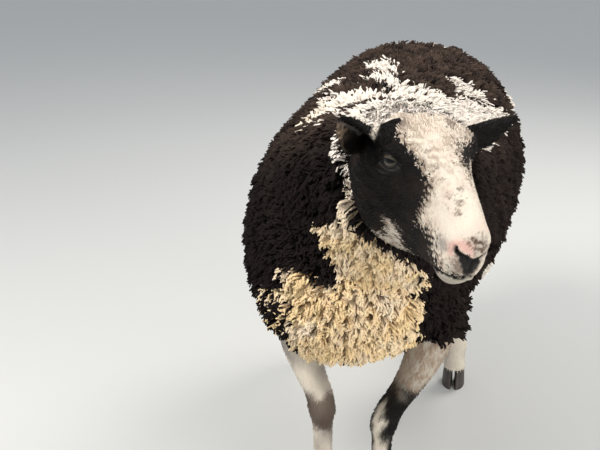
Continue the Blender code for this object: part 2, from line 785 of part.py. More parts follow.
def smooth_step(low, high, value):
    """Nought below the low mark, one above the high one, smooth between."""
    share = min(max((value - low) / (high - low), 0.0), 1.0)
    return share * share * (3 - 2 * share)


def everywhere(place):
    """Wool grows all over the part."""
    return True


def in_breeches(place):
    """Whether a place on a hind leg bears wool."""
    return WOOL_ENDS_AT < place[2] < BREECHES_TOP


def mirrored_leg(stations, shift):
    """The same leg on the other side, moved by a shift."""
    return tuple(
        ((-at[0] + shift[0], at[1] + shift[1], at[2] + shift[2]), wide, deep)
        for at, wide, deep in stations
    )


def claw_solid(name, foot, side, mat):
    """One half of a cloven foot, flat on the floor."""
    coronet, wide, deep = foot
    top = coronet[2] - GAP
    inner = CLEFT / 2
    outer = CLEFT / 2 + CLAW_WIDTH
    heel = coronet[1] + deep * 0.95
    toe = heel - CLAW_LENGTH
    rings = []
    for share in (0.0, 0.35, 1.0):
        level = share * top
        lean = 0.020 * share
        front = toe + lean
        back = heel + 0.006 * share
        squeeze = 1.0 - 0.10 * share
        points = (
            (inner + 0.003, front + 0.000),
            (inner + 0.001, front + 0.022),
            (inner, back - 0.010),
            (inner + 0.006, back),
            (outer * squeeze - 0.006, back),
            (outer * squeeze, back - 0.014),
            (outer * squeeze, front + 0.028),
            (outer * squeeze - 0.006, front + 0.010),
            (inner + 0.009, front + 0.000),
        )
        rings.append([(coronet[0] + side * x, y, level) for x, y in points])
    return add_solid(name, *closed_skin(rings), mat)


def tail_solid(name, mat, inset=0.0):
    """The tail, hanging behind the rump."""
    rows = along(TAIL_STATIONS, TAIL_RINGS)
    turn = np.arange(TAIL_SIDES) * 2 * math.pi / TAIL_SIDES
    ways = np.gradient(rows[:, :3], axis=0)
    rings = []
    for row, way in zip(rows, ways):
        way = way / np.linalg.norm(way)
        out = np.cross((1.0, 0.0, 0.0), way)
        wide = max(row[3] - inset, 0.006)
        deep = max(row[4] - inset, 0.005)
        ring = row[:3] + wide * np.cos(turn)[:, None] * np.array((1.0, 0.0, 0.0))
        rings.append(ring + deep * np.sin(turn)[:, None] * out)
    return add_solid(name, *closed_skin(rings), mat)


def settle(obj):
    """Moves a finished solid to its place over the origin."""
    obj.data.transform(Matrix.Translation(BODY_SHIFT))
    obj.data.shade_smooth()
    obj.data.set_sharp_from_angle(angle=math.radians(40))


def build():
    clear_scene()
    wool = make_material("dark_wool", (0.030, 0.022, 0.020), 0.95)
    face = make_material("short_face_hair", (0.60, 0.52, 0.47), 0.85)
    leg_hair = make_material("short_leg_hair", (0.52, 0.47, 0.42), 0.85)
    ear_skin = make_material("ear_skin", (0.035, 0.028, 0.026), 0.80)
    eye_glass = make_material("eye", (0.10, 0.08, 0.04), 0.08)
    horn = make_material("hoof_horn", (0.10, 0.08, 0.065), 0.50)

    head = head_solid("head", face)
    ears = []
    for side, word in ((1, "left"), (-1, "right")):
        socket = eyeball("socket", side, (EYE_RADIUS + GAP / HEAD_SIZE) * HEAD_SIZE)
        combine(head, "DIFFERENCE", socket)
        drop(socket)
        ear = ear_solid("ear_" + word, side, ear_skin)
        pocket = grown_copy(head, "head_pocket")
        combine(ear, "DIFFERENCE", pocket)
        drop(pocket)
        keep_largest(ear)
        ears.append(ear)
        ball = eyeball("eye_" + word, side, EYE_RADIUS * HEAD_SIZE, eye_glass)
        settle(ball)
    keep_largest(head)

    draw = np.random.default_rng(SEED)
    whole = barrel_solid("torso", CORE_INSET)
    whole.data.materials.append(wool)
    neck_part = neck_solid("neck_part", CORE_INSET)
    combine(whole, "UNION", neck_part)
    drop(neck_part)
    depth = CORE_INSET + TIP_RISE
    grow_wool(whole, TRUNK_CLUMP_SPACING, depth, CLUMP_SIDES, everywhere, draw)
    neck = bpy.data.objects.new("neck", whole.data.copy())
    bpy.context.scene.collection.objects.link(neck)
    block = seam_block(GAP / 2)
    combine(neck, "INTERSECT", block)
    drop(block)
    block = seam_block(-GAP / 2)
    combine(whole, "DIFFERENCE", block)
    drop(block)
    pocket = grown_copy(head, "head_pocket")
    combine(neck, "DIFFERENCE", pocket)
    combine(whole, "DIFFERENCE", pocket)
    drop(pocket)

    for ear in ears:
        pocket = grown_copy(ear, "ear_pocket")
        combine(neck, "DIFFERENCE", pocket)
        drop(pocket)
        settle(ear)

    tail = tail_solid("tail", wool, TAIL_INSET)
    outer = tail_solid("tail_outer", None)
    grow_wool(tail, TAIL_CLUMP_SPACING, TAIL_INSET, SMALL_CLUMP_SIDES, everywhere, draw)
    combine(tail, "INTERSECT", outer)
    keep_largest(tail)
    pocket = grown_copy(outer, "tail_pocket")
    combine(whole, "DIFFERENCE", pocket)
    drop(outer, pocket)
    settle(tail)

    legs = {
        "foreleg_right": RIGHT_FORELEG,
        "foreleg_left": LEFT_FORELEG,
        "hindleg_left": LEFT_HIND_LEG,
        "hindleg_right": mirrored_leg(LEFT_HIND_LEG, RIGHT_HIND_SHIFT),
    }
    for name, stations in legs.items():
        plain = leg_solid("leg_plain", stations, None)
        outer = grown_copy(plain, "leg_outer")
        pocket = grown_copy(outer, "leg_pocket")
        combine(whole, "DIFFERENCE", pocket)
        drop(plain, pocket)
        if name.startswith("hind"):
            leg = leg_solid(name, stations, leg_hair, CORE_INSET)
            grow_wool(leg, LEG_CLUMP_SPACING, CORE_INSET, SMALL_CLUMP_SIDES, in_breeches, draw)
            combine(leg, "INTERSECT", outer)
            keep_largest(leg)
        else:
            leg = leg_solid(name, stations, leg_hair)
        drop(outer)
        settle(leg)
        for side, word in ((1, "left"), (-1, "right")):
            claw = claw_solid(name.replace("leg", "hoof") + "_" + word + "_claw", stations[-1], side, horn)
            settle(claw)
    keep_largest(whole)
    keep_largest(neck)
    settle(whole)
    settle(neck)
    settle(head)


build()
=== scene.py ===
"""The looks of a Dutch spotted ewe in full fleece: skin, wool, short hair, eyes and claws.

Metres, +Z up. She faces -Y and her left side is +X.
"""

import math

import bmesh
import bpy
import numpy as np
from mathutils import Matrix, Vector, kdtree


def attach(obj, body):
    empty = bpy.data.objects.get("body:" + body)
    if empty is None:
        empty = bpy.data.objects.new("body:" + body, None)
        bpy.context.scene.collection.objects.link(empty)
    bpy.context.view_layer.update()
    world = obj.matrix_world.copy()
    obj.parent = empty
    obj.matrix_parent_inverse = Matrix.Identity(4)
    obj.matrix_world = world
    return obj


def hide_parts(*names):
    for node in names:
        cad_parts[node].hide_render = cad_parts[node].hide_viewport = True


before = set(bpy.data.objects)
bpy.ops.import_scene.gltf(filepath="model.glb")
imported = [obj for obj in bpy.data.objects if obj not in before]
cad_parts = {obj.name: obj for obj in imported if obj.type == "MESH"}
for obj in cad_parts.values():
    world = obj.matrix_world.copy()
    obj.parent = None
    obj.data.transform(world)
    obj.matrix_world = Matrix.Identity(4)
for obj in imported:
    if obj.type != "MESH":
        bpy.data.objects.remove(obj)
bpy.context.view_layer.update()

# The body, as in the part's source

BODY_SHIFT = np.array((0.01, 0.096, 0.0))
CORE_INSET = 0.024
TAIL_INSET = 0.016
# The barrel: shift, place, half width, top, bottom, widest line, squareness above and below
BARREL_STATIONS = (
    (-0.012, -0.462, 0.02, 0.56, 0.5, 0.53, 2.0, 2.0),
    (-0.01, -0.448, 0.085, 0.64, 0.425, 0.52, 2.0, 2.0),
    (-0.014, -0.4, 0.146, 0.7, 0.368, 0.5, 1.95, 1.9),
    (-0.021, -0.32, 0.184, 0.748, 0.345, 0.495, 1.9, 1.8),
    (-0.023, -0.2, 0.225, 0.78, 0.34, 0.5, 1.9, 1.65),
    (-0.019, -0.06, 0.249, 0.784, 0.332, 0.51, 1.85, 1.5),
    (-0.005, 0.09, 0.258, 0.78, 0.334, 0.53, 1.85, 1.55),
    (0.012, 0.23, 0.252, 0.782, 0.345, 0.56, 2.1, 2.0),
    (0.014, 0.36, 0.224, 0.786, 0.37, 0.59, 2.3, 2.4),
    (0.01, 0.44, 0.188, 0.78, 0.41, 0.61, 2.4, 2.4),
    (0.008, 0.494, 0.128, 0.75, 0.48, 0.62, 2.3, 2.2),
    (0.01, 0.516, 0.02, 0.67, 0.56, 0.61, 2.0, 2.0),
)
# How far the underside hangs to her right
BELLY_LEAN = -0.036
# The neck: place, half width, height of its crest, depth of its throat
NECK_STATIONS = (
    (0.0, -0.14, 0.6, 0.2, 0.15, 0.19), (0.012, -0.26, 0.64, 0.185, 0.15, 0.19),
    (0.035, -0.37, 0.7, 0.148, 0.122, 0.174), (0.06, -0.46, 0.745, 0.112, 0.095, 0.134),
    (0.076, -0.535, 0.778, 0.086, 0.072, 0.098), (0.083, -0.575, 0.796, 0.062, 0.05, 0.066),
)
# The tail and the hind legs: place, half width, half depth
TAIL_STATIONS = (
    (0.008, 0.47, 0.728, 0.044, 0.032), (0.008, 0.506, 0.706, 0.054, 0.04),
    (0.01, 0.532, 0.65, 0.056, 0.042), (0.012, 0.544, 0.58, 0.05, 0.038),
    (0.014, 0.548, 0.51, 0.04, 0.031), (0.016, 0.547, 0.46, 0.028, 0.024),
    (0.016, 0.546, 0.438, 0.013, 0.012),
)
# The half width and half depth of a foreleg at its stations
FORELEG_GIRTHS = (
    (0.04, 0.06), (0.039, 0.056), (0.034, 0.047), (0.027, 0.036), (0.025, 0.029), (0.025, 0.0285),
    (0.019, 0.023), (0.0172, 0.0208), (0.0184, 0.022), (0.024, 0.028), (0.0212, 0.0232), (0.0265, 0.03),
)


def foreleg(places):
    """The rows of a foreleg's stations."""
    return tuple(place + girth for place, girth in zip(places, FORELEG_GIRTHS))


RIGHT_FORELEG = foreleg((
    (-0.13, -0.266, 0.47), (-0.133, -0.268, 0.4), (-0.122, -0.276, 0.348), (-0.103, -0.29, 0.3),
    (-0.083, -0.303, 0.262), (-0.077, -0.309, 0.236), (-0.076, -0.308, 0.212), (-0.075, -0.306, 0.16),
    (-0.075, -0.305, 0.118), (-0.075, -0.304, 0.094), (-0.075, -0.313, 0.07), (-0.075, -0.323, 0.046),
))
LEFT_FORELEG = foreleg((
    (0.108, -0.276, 0.47), (0.11, -0.28, 0.4), (0.098, -0.291, 0.35), (0.072, -0.311, 0.3),
    (0.046, -0.33, 0.262), (0.038, -0.335, 0.238), (0.036, -0.334, 0.214), (0.035, -0.332, 0.16),
    (0.035, -0.331, 0.118), (0.035, -0.33, 0.094), (0.035, -0.339, 0.07), (0.035, -0.349, 0.046),
))
LEFT_HIND_LEG = (
    (0.146, 0.236, 0.48, 0.046, 0.078), (0.15, 0.24, 0.43, 0.052, 0.086),
    (0.158, 0.245, 0.38, 0.06, 0.092), (0.161, 0.25, 0.345, 0.06, 0.086),
    (0.16, 0.262, 0.3, 0.049, 0.067), (0.153, 0.284, 0.258, 0.035, 0.046),
    (0.15, 0.294, 0.234, 0.0285, 0.037), (0.148, 0.288, 0.205, 0.0215, 0.0275),
    (0.147, 0.274, 0.16, 0.02, 0.024), (0.146, 0.262, 0.118, 0.0205, 0.0245),
    (0.146, 0.255, 0.094, 0.026, 0.03), (0.146, 0.246, 0.07, 0.0225, 0.025),
    (0.146, 0.236, 0.046, 0.027, 0.0305),
)
# How far the right hind leg stands aside of the left one's twin, and behind it
HIND_ASIDE = 0.004
HIND_STRIDE = 0.075
RIGHT_HIND_LEG = tuple((-x + HIND_ASIDE, y + HIND_STRIDE, *rest) for x, y, *rest in LEFT_HIND_LEG)
WOOL_ENDS_AT = 0.275
FORELEG_WOOL_ENDS_AT = 0.41
FORELEG_INSET = 0.0004

HEAD_AT = Vector((0.081, -0.552, 0.883))
HEAD_TURN = 22.9
HEAD_NOD = 22.9
HEAD_TILT = 3.8
# Along the face from the poll, half width, top, bottom, height of the widest line, jaw taper
HEAD_STATIONS = (
    (-0.03, 0.03, -0.085, -0.128, -0.105, 0.0), (-0.024, 0.046, -0.07, -0.152, -0.105, 0.0),
    (-0.005, 0.06, -0.05, -0.176, -0.1, 0.0), (0.025, 0.068, -0.028, -0.203, -0.092, 0.0),
    (0.055, 0.068, -0.01, -0.21, -0.08, 0.02), (0.08, 0.064, 0.0, -0.202, -0.06, 0.06),
    (0.105, 0.055, 0.004, -0.188, -0.045, 0.11), (0.135, 0.039, 0.006, -0.168, -0.045, 0.14),
    (0.17, 0.03, 0.005, -0.144, -0.048, 0.13), (0.205, 0.0262, 0.001, -0.124, -0.05, 0.08),
    (0.232, 0.025, -0.004, -0.112, -0.052, 0.05), (0.25, 0.0235, -0.01, -0.102, -0.054, 0.05),
    (0.262, 0.019, -0.02, -0.088, -0.053, 0.05), (0.269, 0.011, -0.034, -0.07, -0.052, 0.03),
    (0.271, 0.002, -0.048, -0.055, -0.051, 0.0),
)
EYE_RADIUS = 0.0148
EYE_AT = np.array((0.0415, 0.096, -0.043))
EYE_LOOKS = np.array((0.84, 0.5, 0.2)) / math.sqrt(0.84**2 + 0.5**2 + 0.2**2)
LID_THICKNESS = 0.0022
FISSURE_HALF_WIDTH = 0.0145
FISSURE_HALF_HEIGHT = 0.0085
OPENING_DEPTH = 0.004
# Rolls of the lids: height, place as a share of the slit's half size, width
LID_ROLLS = ((0.0007, 1.28, 0.14), (-0.0011, 1.62, 0.12), (0.0006, 1.95, 0.16), (-0.0005, 2.25, 0.12))
EYE_RINGS = 56
EYE_SIDES = 72
CORNEA_RISE = 0.055
CORNEA_REACH = 0.62

EAR_ROOT = np.array((0.059, 0.03, -0.052))
LEFT_EAR_POINTS = np.array((0.94, -0.23, 0.26))
LEFT_EAR_OPENS = np.array((0.28, 0.66, -0.7))
RIGHT_EAR_POINTS = np.array((-0.59, 0.42, 0.69))
RIGHT_EAR_OPENS = np.array((-0.03, 0.84, -0.54))
EAR_LENGTH = 0.108
EAR_HALF_WIDTH = 0.031
EAR_WALL = 0.0045
EAR_MESH = (34, 28)

CLAW_LENGTH = 0.062
CLAW_WIDTH = 0.0245
CLEFT = 0.004
CLAW_LEVELS = (0.0, 0.02, 0.1, 0.25, 0.42, 0.6, 0.78, 0.92, 1.0)
CAD_GAP = 0.0003

# Lines of the face, on the left side: across, along the face, out of it
MOUTH = (
    (0.0, 0.27, -0.0685), (0.008, 0.2668, -0.0742), (0.015, 0.26, -0.078), (0.0195, 0.25, -0.0825),
    (0.023, 0.235, -0.09), (0.026, 0.22, -0.0955),
)
NOSTRIL = (
    (0.0025, 0.269, -0.0458), (0.005, 0.2682, -0.0446), (0.0092, 0.2664, -0.0412),
    (0.0142, 0.2639, -0.0397), (0.0182, 0.2608, -0.0379), (0.017, 0.2588, -0.0348),
)
TEAR_GROOVE = (
    (0.046, 0.1145, -0.035), (0.044, 0.1257, -0.0391), (0.0415, 0.133, -0.0437),
    (0.0385, 0.146, -0.052),
)
LID_FOLD = (
    (0.059, 0.095, -0.059), (0.056, 0.1057, -0.0541), (0.0515, 0.1162, -0.0454), (0.047, 0.12, -0.0385),
)

# Swellings and hollows of the face: height, place, spread
SWELLINGS = (
    (0.005, (0.05, 0.09, -0.021), (0.018, 0.024, 0.012)),
    (-0.003, (0.056, 0.062, -0.028), (0.02, 0.018, 0.016)),
    (0.004, (0.048, 0.07, -0.095), (0.03, 0.035, 0.035)),
    (0.003, (0.048, 0.135, -0.062), (0.02, 0.026, 0.01)),
    (-0.003, (0.038, 0.178, -0.076), (0.02, 0.03, 0.018)),
    (0.003, (0.024, 0.25, -0.03), (0.012, 0.012, 0.01)),
    (0.0026, (0.024, 0.248, -0.062), (0.014, 0.02, 0.01)),
    (0.0018, (0.024, 0.236, -0.088), (0.014, 0.02, 0.01)),
)
# Ridges and grooves of the face: height, line, shift from it, width
RIDGES = (
    (-0.0032, TEAR_GROOVE, (0, 0, 0), 0.0034),
    (-0.0075, NOSTRIL, (0, 0, 0), 0.0026),
    (0.0014, NOSTRIL[1:], (0.002, -0.001, 0.0055), 0.0028),
    (0.0012, NOSTRIL[3:], (0.005, -0.001, -0.003), 0.0026),
    (-0.0042, MOUTH, (0, 0, 0), 0.0018),
    (0.0012, MOUTH, (0, 0, 0.0052), 0.003),
    (0.0016, MOUTH, (0, -0.001, -0.0052), 0.003),
    (-0.0014, LID_FOLD, (0, 0, 0), 0.0016),
    (-0.0011, LID_FOLD, (0, 0.004, -0.006), 0.0018),
    (-0.0008, LID_FOLD[:3], (0, 0.008, -0.0125), 0.002),
)
# The chin and the throat, and the groove of the upper lip, on the middle line
CHIN = (0.0025, (0, 0.236, -0.104), (0.018, 0.016, 0.012))
LIP_GROOVE = (-0.0022, ((0, 0.272, -0.043), (0, 0.27, -0.066)), 0.0016)
THROAT = (-0.004, (0, 0.15, -0.122), (0.016, 0.045, 0.02))

# Rings and sides of the drafts
BARREL_MESH = (60, 64)
NECK_MESH = (36, 48)
TAIL_MESH = (40, 24)
LEG_MESH = (80, 32)
HEAD_MESH = (120, 96)

# Fineness of the skin, and how often it is softened
BODY_VOXEL = 0.0068
HEAD_VOXEL = 0.0022
SOFTENINGS = 3

# The coat: how far tufts stand apart, and how many places are tried
WOOL_SPACING = 0.0029
CURL_SPACING = 0.0105
FACE_HAIR_SPACING = 0.003
LEG_HAIR_SPACING = 0.0048
CURL_TRIES = 30000
WOOL_TRIES = 430000
FACE_HAIR_TRIES = 90000
LEG_HAIR_TRIES = 40000
PIECE_LIMIT = 190000
TUFT_SIDES = 3
# Along a lock and along a hair: share of the way, and thickness there
LOCK_MARKS = ((0.0, 1.0), (0.46, 1.05), (0.86, 0.72))
HAIR_MARKS = ((0.0, 1.0), (0.55, 0.85))
LOCK_WIDTH = 0.0019
LOCK_ROOT_DEPTH = 0.0015
LOCK_CRIMP = 0.0022
LOCK_STRAY = 0.0035
# How far locks wind in to the middle of their curl, and fold over
WIND_IN = 0.48
FOLD_OVER = 0.68
HAIR_ROOT_DEPTH = 0.0008
HAIR_SWAY = 0.0006
# How much a tuft is shaded like the skin beneath it
SOFTNESS = 0.62
SEED = 7

BOTH_SIDES = ((1, "left"), (-1, "right"))
HEAD_PARTS = ("face", "ear_left", "ear_right")
LEG_PARTS = ("foreleg_left", "foreleg_right", "hindleg_left", "hindleg_right")
WOOLLY_PARTS = ("trunk", "tail")

# Colours, linear
DARK_WOOL = np.array((0.0135, 0.0105, 0.0105))
# Lighter brown for the dark wool: partly real sun-bleaching, partly a painted highlight where light falls
# on the top and the left flank
SUN_BLEACHED_AND_LIT_WOOL = np.array((0.09, 0.062, 0.048))
WHITE_WOOL = np.array((0.97, 0.86, 0.76))
CREAM_WOOL = np.array((1.0, 0.71, 0.39))
BLACK_HAIR = np.array((0.004, 0.0038, 0.0038))
WHITE_HAIR = np.array((0.85, 0.76, 0.63))
PINK_SKIN = np.array((0.8, 0.47, 0.4))
GREY_HAIR = np.array((0.22, 0.2, 0.19))
TAN_HAIR = np.array((0.34, 0.25, 0.18))
BROWN_HAIR = np.array((0.08, 0.045, 0.03))
BETWEEN_HAIRS = (0.03, 0.02, 0.016)
BETWEEN_LOCKS = (0.05, 0.04, 0.03)
IRIS_OLIVE = (0.125, 0.105, 0.075)
IRIS_FIBRES = (0.035, 0.028, 0.02)
IRIS_RIM = (0.012, 0.008, 0.006)
PUPIL_BLACK = (0.002, 0.002, 0.003)
PALE_HORN = (0.085, 0.065, 0.05)
DARK_HORN = (0.02, 0.016, 0.014)

# The studio
SKY = (0.8, 0.84, 0.9, 1.0)
SKY_STRENGTH = 0.66
FLOOR_COLOUR = (0.62, 0.62, 0.6)
FLOOR_REACH = 30.0
# The lamps: name, place, what they point at, size, power, colour
LAMPS = (
    ("key", (-1.6, -1.2, 2.9), (0.0, 0.0, 0.5), 1.6, 80.0, (1.0, 0.97, 0.92)),
    ("back", (1.2, 2.0, 2.6), (0.0, 0.0, 0.6), 1.2, 48.0, (1.0, 0.96, 0.9)),
    ("fill", (2.2, -2.0, 1.2), (0.0, -0.2, 0.5), 2.0, 48.0, (1.0, 0.97, 0.92)),
)

# The camera of the photograph
CAMERA_AT = np.array((0.166, -1.69, 1.12)) + BODY_SHIFT
CAMERA_TURN = 11.6
CAMERA_DIP = 20.7
CAMERA_LENS = 54.0
SENSOR = 36.0
PICTURE = (600, 450)

# Patches of the coat, outlined in places of the picture
COLLAR = (
    (306, 140), (311, 131), (319, 123), (336, 107), (356, 103), (370, 100), (383, 104), (397, 96),
    (412, 97), (428, 99), (437, 106), (458, 106), (474, 108), (490, 111), (500, 122), (480, 150),
    (430, 150), (372, 136), (356, 122), (340, 127), (321, 134),
)
SECOND_BAND = (
    (290, 123), (304, 109), (319, 99), (336, 89), (348, 86), (348, 93), (328, 101), (312, 108),
    (298, 118),
)
MIDDLE_PATCH = (
    (366, 89), (382, 84), (397, 90), (404, 99), (389, 98), (373, 92),
)
BACK_PATCH = (
    (370, 74), (382, 69), (394, 73), (398, 84), (386, 82), (373, 80),
)
BACK_TUFT = ((368, 53), (379, 49), (378, 55))
RIGHT_PATCH = (
    (440, 87), (452, 85), (463, 93), (478, 99), (480, 107), (466, 105), (452, 98),
)
CHEST = (
    (345, 214), (352, 203), (368, 228), (403, 248), (420, 262), (420, 273), (411, 281), (408, 290),
    (419, 299), (417, 311), (411, 322), (424, 334), (419, 346), (403, 354), (396, 380), (365, 384),
    (327, 384), (307, 375), (293, 340), (296, 325), (295, 302), (289, 281), (286, 265), (299, 269),
    (315, 274), (322, 281), (330, 285), (339, 281), (341, 264), (339, 253), (333, 242), (324, 226),
    (325, 218), (336, 219),
)
CHEST_MIDDLE = 358
CHEST_REACH = 56
CHEEK_STRIP = ((346, 140), (352, 142), (355, 172), (354, 208), (349, 214), (350, 176))
SHOULDER_STREAKS = (
    (264, 284), (282, 280), (296, 300), (297, 350), (282, 342), (266, 322), (262, 300),
)
WHITE_PATCHES = (COLLAR, SECOND_BAND, MIDDLE_PATCH, BACK_PATCH, BACK_TUFT, RIGHT_PATCH, CHEST, CHEEK_STRIP)
FACE_WHITE = (
    (374, 116), (380, 122), (393, 129), (401, 137), (405, 143), (416, 157), (424, 170), (430, 184),
    (427, 201), (421, 210), (418, 222), (428, 229), (433, 240), (434, 252), (437, 261), (440, 268),
    (446, 273), (462, 276), (482, 276), (492, 258), (500, 240), (486, 200), (468, 166), (461, 164),
    (459, 146), (473, 140), (480, 100), (380, 90),
)
NOSE_PINK = (
    (448, 243), (456, 240), (470, 241), (474, 246), (473, 258), (468, 255), (462, 252), (458, 247),
    (453, 250), (453, 256), (448, 253),
)
NOSE_BLACK = (
    (457, 246), (460, 251), (464, 253.5), (469, 255.5), (473, 259), (478, 257.5), (481, 262),
    (477, 269), (472, 274), (463, 274.5), (461, 266), (459, 258), (455, 254), (454, 250),
)
LIP_BROWN = ((451, 258), (459, 257), (463, 266), (463, 274), (454, 272))
NOSE_GREY = ((466, 241), (473, 236), (486, 236), (490, 250), (482, 256), (476, 257), (473, 249), (468, 244))
LIP_GREY = ((437, 234), (446, 237), (449, 250), (443, 252), (438, 246))
LOWER_LIP = (
    (428, 269), (436, 272), (446, 275.5), (456, 280), (464, 280), (471, 276.5), (480, 272), (486, 276),
    (470, 290), (450, 290), (432, 280),
)
JAW_WHITE = (
    (383, 216), (387, 219), (394, 224), (399, 232), (400, 240), (406, 251), (420, 263), (412, 262),
    (396, 252), (372, 238), (360, 228), (377, 233), (387, 235), (386, 226),
)
EAR_GAP_WHITE = ((371, 116), (382, 117), (380, 124), (377, 132), (374, 141), (371, 136), (373, 126))
FACE_SPOTS = (
    ((460, 190), 3.0), ((460, 202), 3.5), ((462, 214), 2.5), ((428, 152), 2.0), ((404, 124), 5.0),
    ((449, 196), 2.5), ((441, 178), 2.0), ((447, 207), 2.0), ((436, 168), 2.0), ((458, 214), 3.0),
    ((430, 180), 2.5), ((384, 125), 5.0), ((452, 124), 5.0), ((466, 116), 4.0),
)
# Patches on the sides that the photograph doesn't show: middle and radius, before the shift
HIDDEN_WHITE = (
    ((-0.24, 0.22, 0.62), 0.085), ((-0.25, 0.02, 0.44), 0.06), ((0.25, 0.3, 0.66), 0.075),
    ((0.26, 0.06, 0.42), 0.055), ((0.05, 0.46, 0.76), 0.05), ((0.0, 0.1, 0.32), 0.13),
    ((-0.15, 0.33, 0.36), 0.06), ((0.16, 0.26, 0.36), 0.1), ((0.01, 0.56, 0.47), 0.06),
)


# Curves and closed forms


def through(places, values, at):
    """A smooth curve through the values, which never swings past them."""
    places = np.asarray(places, float)
    values = np.asarray(values, float)
    at = np.clip(at, places[0], places[-1])
    step = np.diff(places)
    slope = np.diff(values) / step
    tangent = np.zeros(len(values))
    same_way = slope[1:] * slope[:-1] > 0
    weight_a = 2 * step[1:] + step[:-1]
    weight_b = step[1:] + 2 * step[:-1]
    safe = np.where(same_way, slope[1:] * slope[:-1], 1.0)
    mean = (weight_a + weight_b) * safe / (weight_a * slope[1:] + weight_b * slope[:-1] + 1e-30)
    tangent[1:-1] = np.where(same_way, mean, 0.0)
    tangent[0] = slope[0]
    tangent[-1] = slope[-1]
    k = np.clip(np.searchsorted(places, at, side="right") - 1, 0, len(step) - 1)
    h = step[k]
    t = (at - places[k]) / h
    rise = values[k] * (1 + 2 * t) * (1 - t) ** 2 + values[k + 1] * t * t * (3 - 2 * t)
    return rise + h * (tangent[k] * t * (1 - t) ** 2 - tangent[k + 1] * t * t * (1 - t))


def along(stations, count, crowd_ends=False):
    """The station values at evenly spread places, crowded towards both ends if asked."""
    table = np.array(stations)
    steps = sizes(np.diff(table[:, :3], axis=0))
    places = np.concatenate([[0.0], np.cumsum(steps)])
    share = np.linspace(0.0, 1.0, count)
    if crowd_ends:
        share = 0.5 - 0.5 * np.cos(math.pi * share)
    at = share * places[-1]
    return np.stack([through(places, table[:, c], at) for c in range(table.shape[1])], axis=1)


def closed_skin(rings):
    """Vertices and faces of a tube through the rings, closed at both ends by a pole."""
    rings = np.asarray(rings, float)
    count, sides, _ = rings.shape
    verts = np.vstack([rings[0].mean(axis=0), rings.reshape(-1, 3), rings[-1].mean(axis=0)])
    last = len(verts) - 1
    faces = []
    for s in range(sides):
        t = (s + 1) % sides
        faces.append((0, 1 + t, 1 + s))
        for r in range(count - 1):
            a = 1 + r * sides
            faces.append((a + s, a + t, a + t + sides, a + s + sides))
        a = 1 + (count - 1) * sides
        faces.append((last, a + s, a + t))
    return verts, faces


def oval(width, top, bottom, middle, sides, upper=2.0, lower=2.0):
    """Points of a ring, as offset to the left and height, that is squarer where asked."""
    turn = np.arange(sides) * 2 * math.pi / sides
    c = np.cos(turn)
    s = np.sin(turn)
    power = np.where(s > 0, 2.0 / upper, 2.0 / lower)
    reach = np.where(s > 0, top - middle, middle - bottom)
    left = width * np.sign(c) * np.abs(c) ** power
    height = middle + reach * np.sign(s) * np.abs(s) ** power
    return left, height


def smooth_step(low, high, value):
    """Nought below the low mark, one above the high one, smooth between."""
    share = np.clip((value - low) / (high - low), 0.0, 1.0)
    return share * share * (3 - 2 * share)


def fading(values, edge, sharpness):
    """One below an edge and nothing above it, with a soft step."""
    return 0.5 - 0.5 * np.tanh((values - edge) * sharpness / 2)


def hump(values, middle, width):
    """One at a middle value, fading to nothing beside it."""
    return np.exp(-(((values - middle) / width) ** 2))


def sizes(vectors):
    """The length of each vector."""
    return np.linalg.norm(vectors, axis=1)


def unit(vectors):
    """The same directions at length one."""
    return vectors / np.maximum(np.linalg.norm(vectors, axis=-1, keepdims=True), 1e-9)


def level(vectors, normals):
    """What of each vector lies along the skin."""
    return vectors - normals * (vectors * normals).sum(axis=1)[:, None]


# Meshes


def place_object(name, data):
    """Puts an object into the scene."""
    obj = bpy.data.objects.new(name, data)
    bpy.context.scene.collection.objects.link(obj)
    return obj


def solid(name, verts, faces):
    """A mesh object whose faces all point outwards."""
    mesh = bpy.data.meshes.new(name)
    mesh.from_pydata(np.asarray(verts).tolist(), [], faces)
    work = bmesh.new()
    work.from_mesh(mesh)
    bmesh.ops.recalc_face_normals(work, faces=work.faces)
    work.to_mesh(mesh)
    work.free()
    return place_object(name, mesh)


def one_draft(name, shapes):
    """Several closed shapes in one mesh object."""
    verts = []
    faces = []
    for shape_verts, shape_faces in shapes:
        faces.extend([tuple(i + len(verts) for i in face) for face in shape_faces])
        verts.extend(shape_verts.tolist())
    return solid(name, np.array(verts), faces)


def apply_modifiers(obj):
    """Turns an object's modifiers into its mesh."""
    bpy.context.view_layer.update()
    graph = bpy.context.evaluated_depsgraph_get()
    mesh = bpy.data.meshes.new_from_object(obj.evaluated_get(graph))
    obj.modifiers.clear()
    obj.data = mesh


def remeshed(obj, voxel):
    """Melts a draft's shapes into one even skin, and softens it."""
    melt = obj.modifiers.new("Melt", "REMESH")
    melt.mode = "VOXEL"
    melt.voxel_size = voxel
    soften = obj.modifiers.new("Soften", "SMOOTH")
    soften.factor = 0.5
    soften.iterations = SOFTENINGS
    apply_modifiers(obj)


def vertex_vectors(mesh, field="co"):
    """The places of a mesh's vertices, or the directions they face."""
    flat = np.empty(len(mesh.vertices) * 3)
    mesh.vertices.foreach_get(field, flat)
    return flat.reshape(-1, 3)


# The head's own frame


def head_frame():
    """Turns head measures (left, along the face, out of it) into places on the sheep."""
    turn = Matrix.Rotation(math.radians(HEAD_TURN), 4, "Z")
    nod = Matrix.Rotation(math.radians(HEAD_NOD), 4, "X")
    tilt = Matrix.Rotation(math.radians(HEAD_TILT), 4, "Y")
    flip = Matrix.Diagonal((1.0, -1.0, 1.0, 1.0))
    return np.array(Matrix.Translation(HEAD_AT) @ turn @ nod @ tilt @ flip)


HEAD = head_frame()
HEAD_BACK = np.linalg.inv(HEAD)


def carry(points, matrix):
    """Carries points through a frame."""
    return points @ matrix[:3, :3].T + matrix[:3, 3]


def mirrored(at, side):
    """A place on the left side, or its twin on the right."""
    return np.array((at[0] * side, at[1], at[2]))


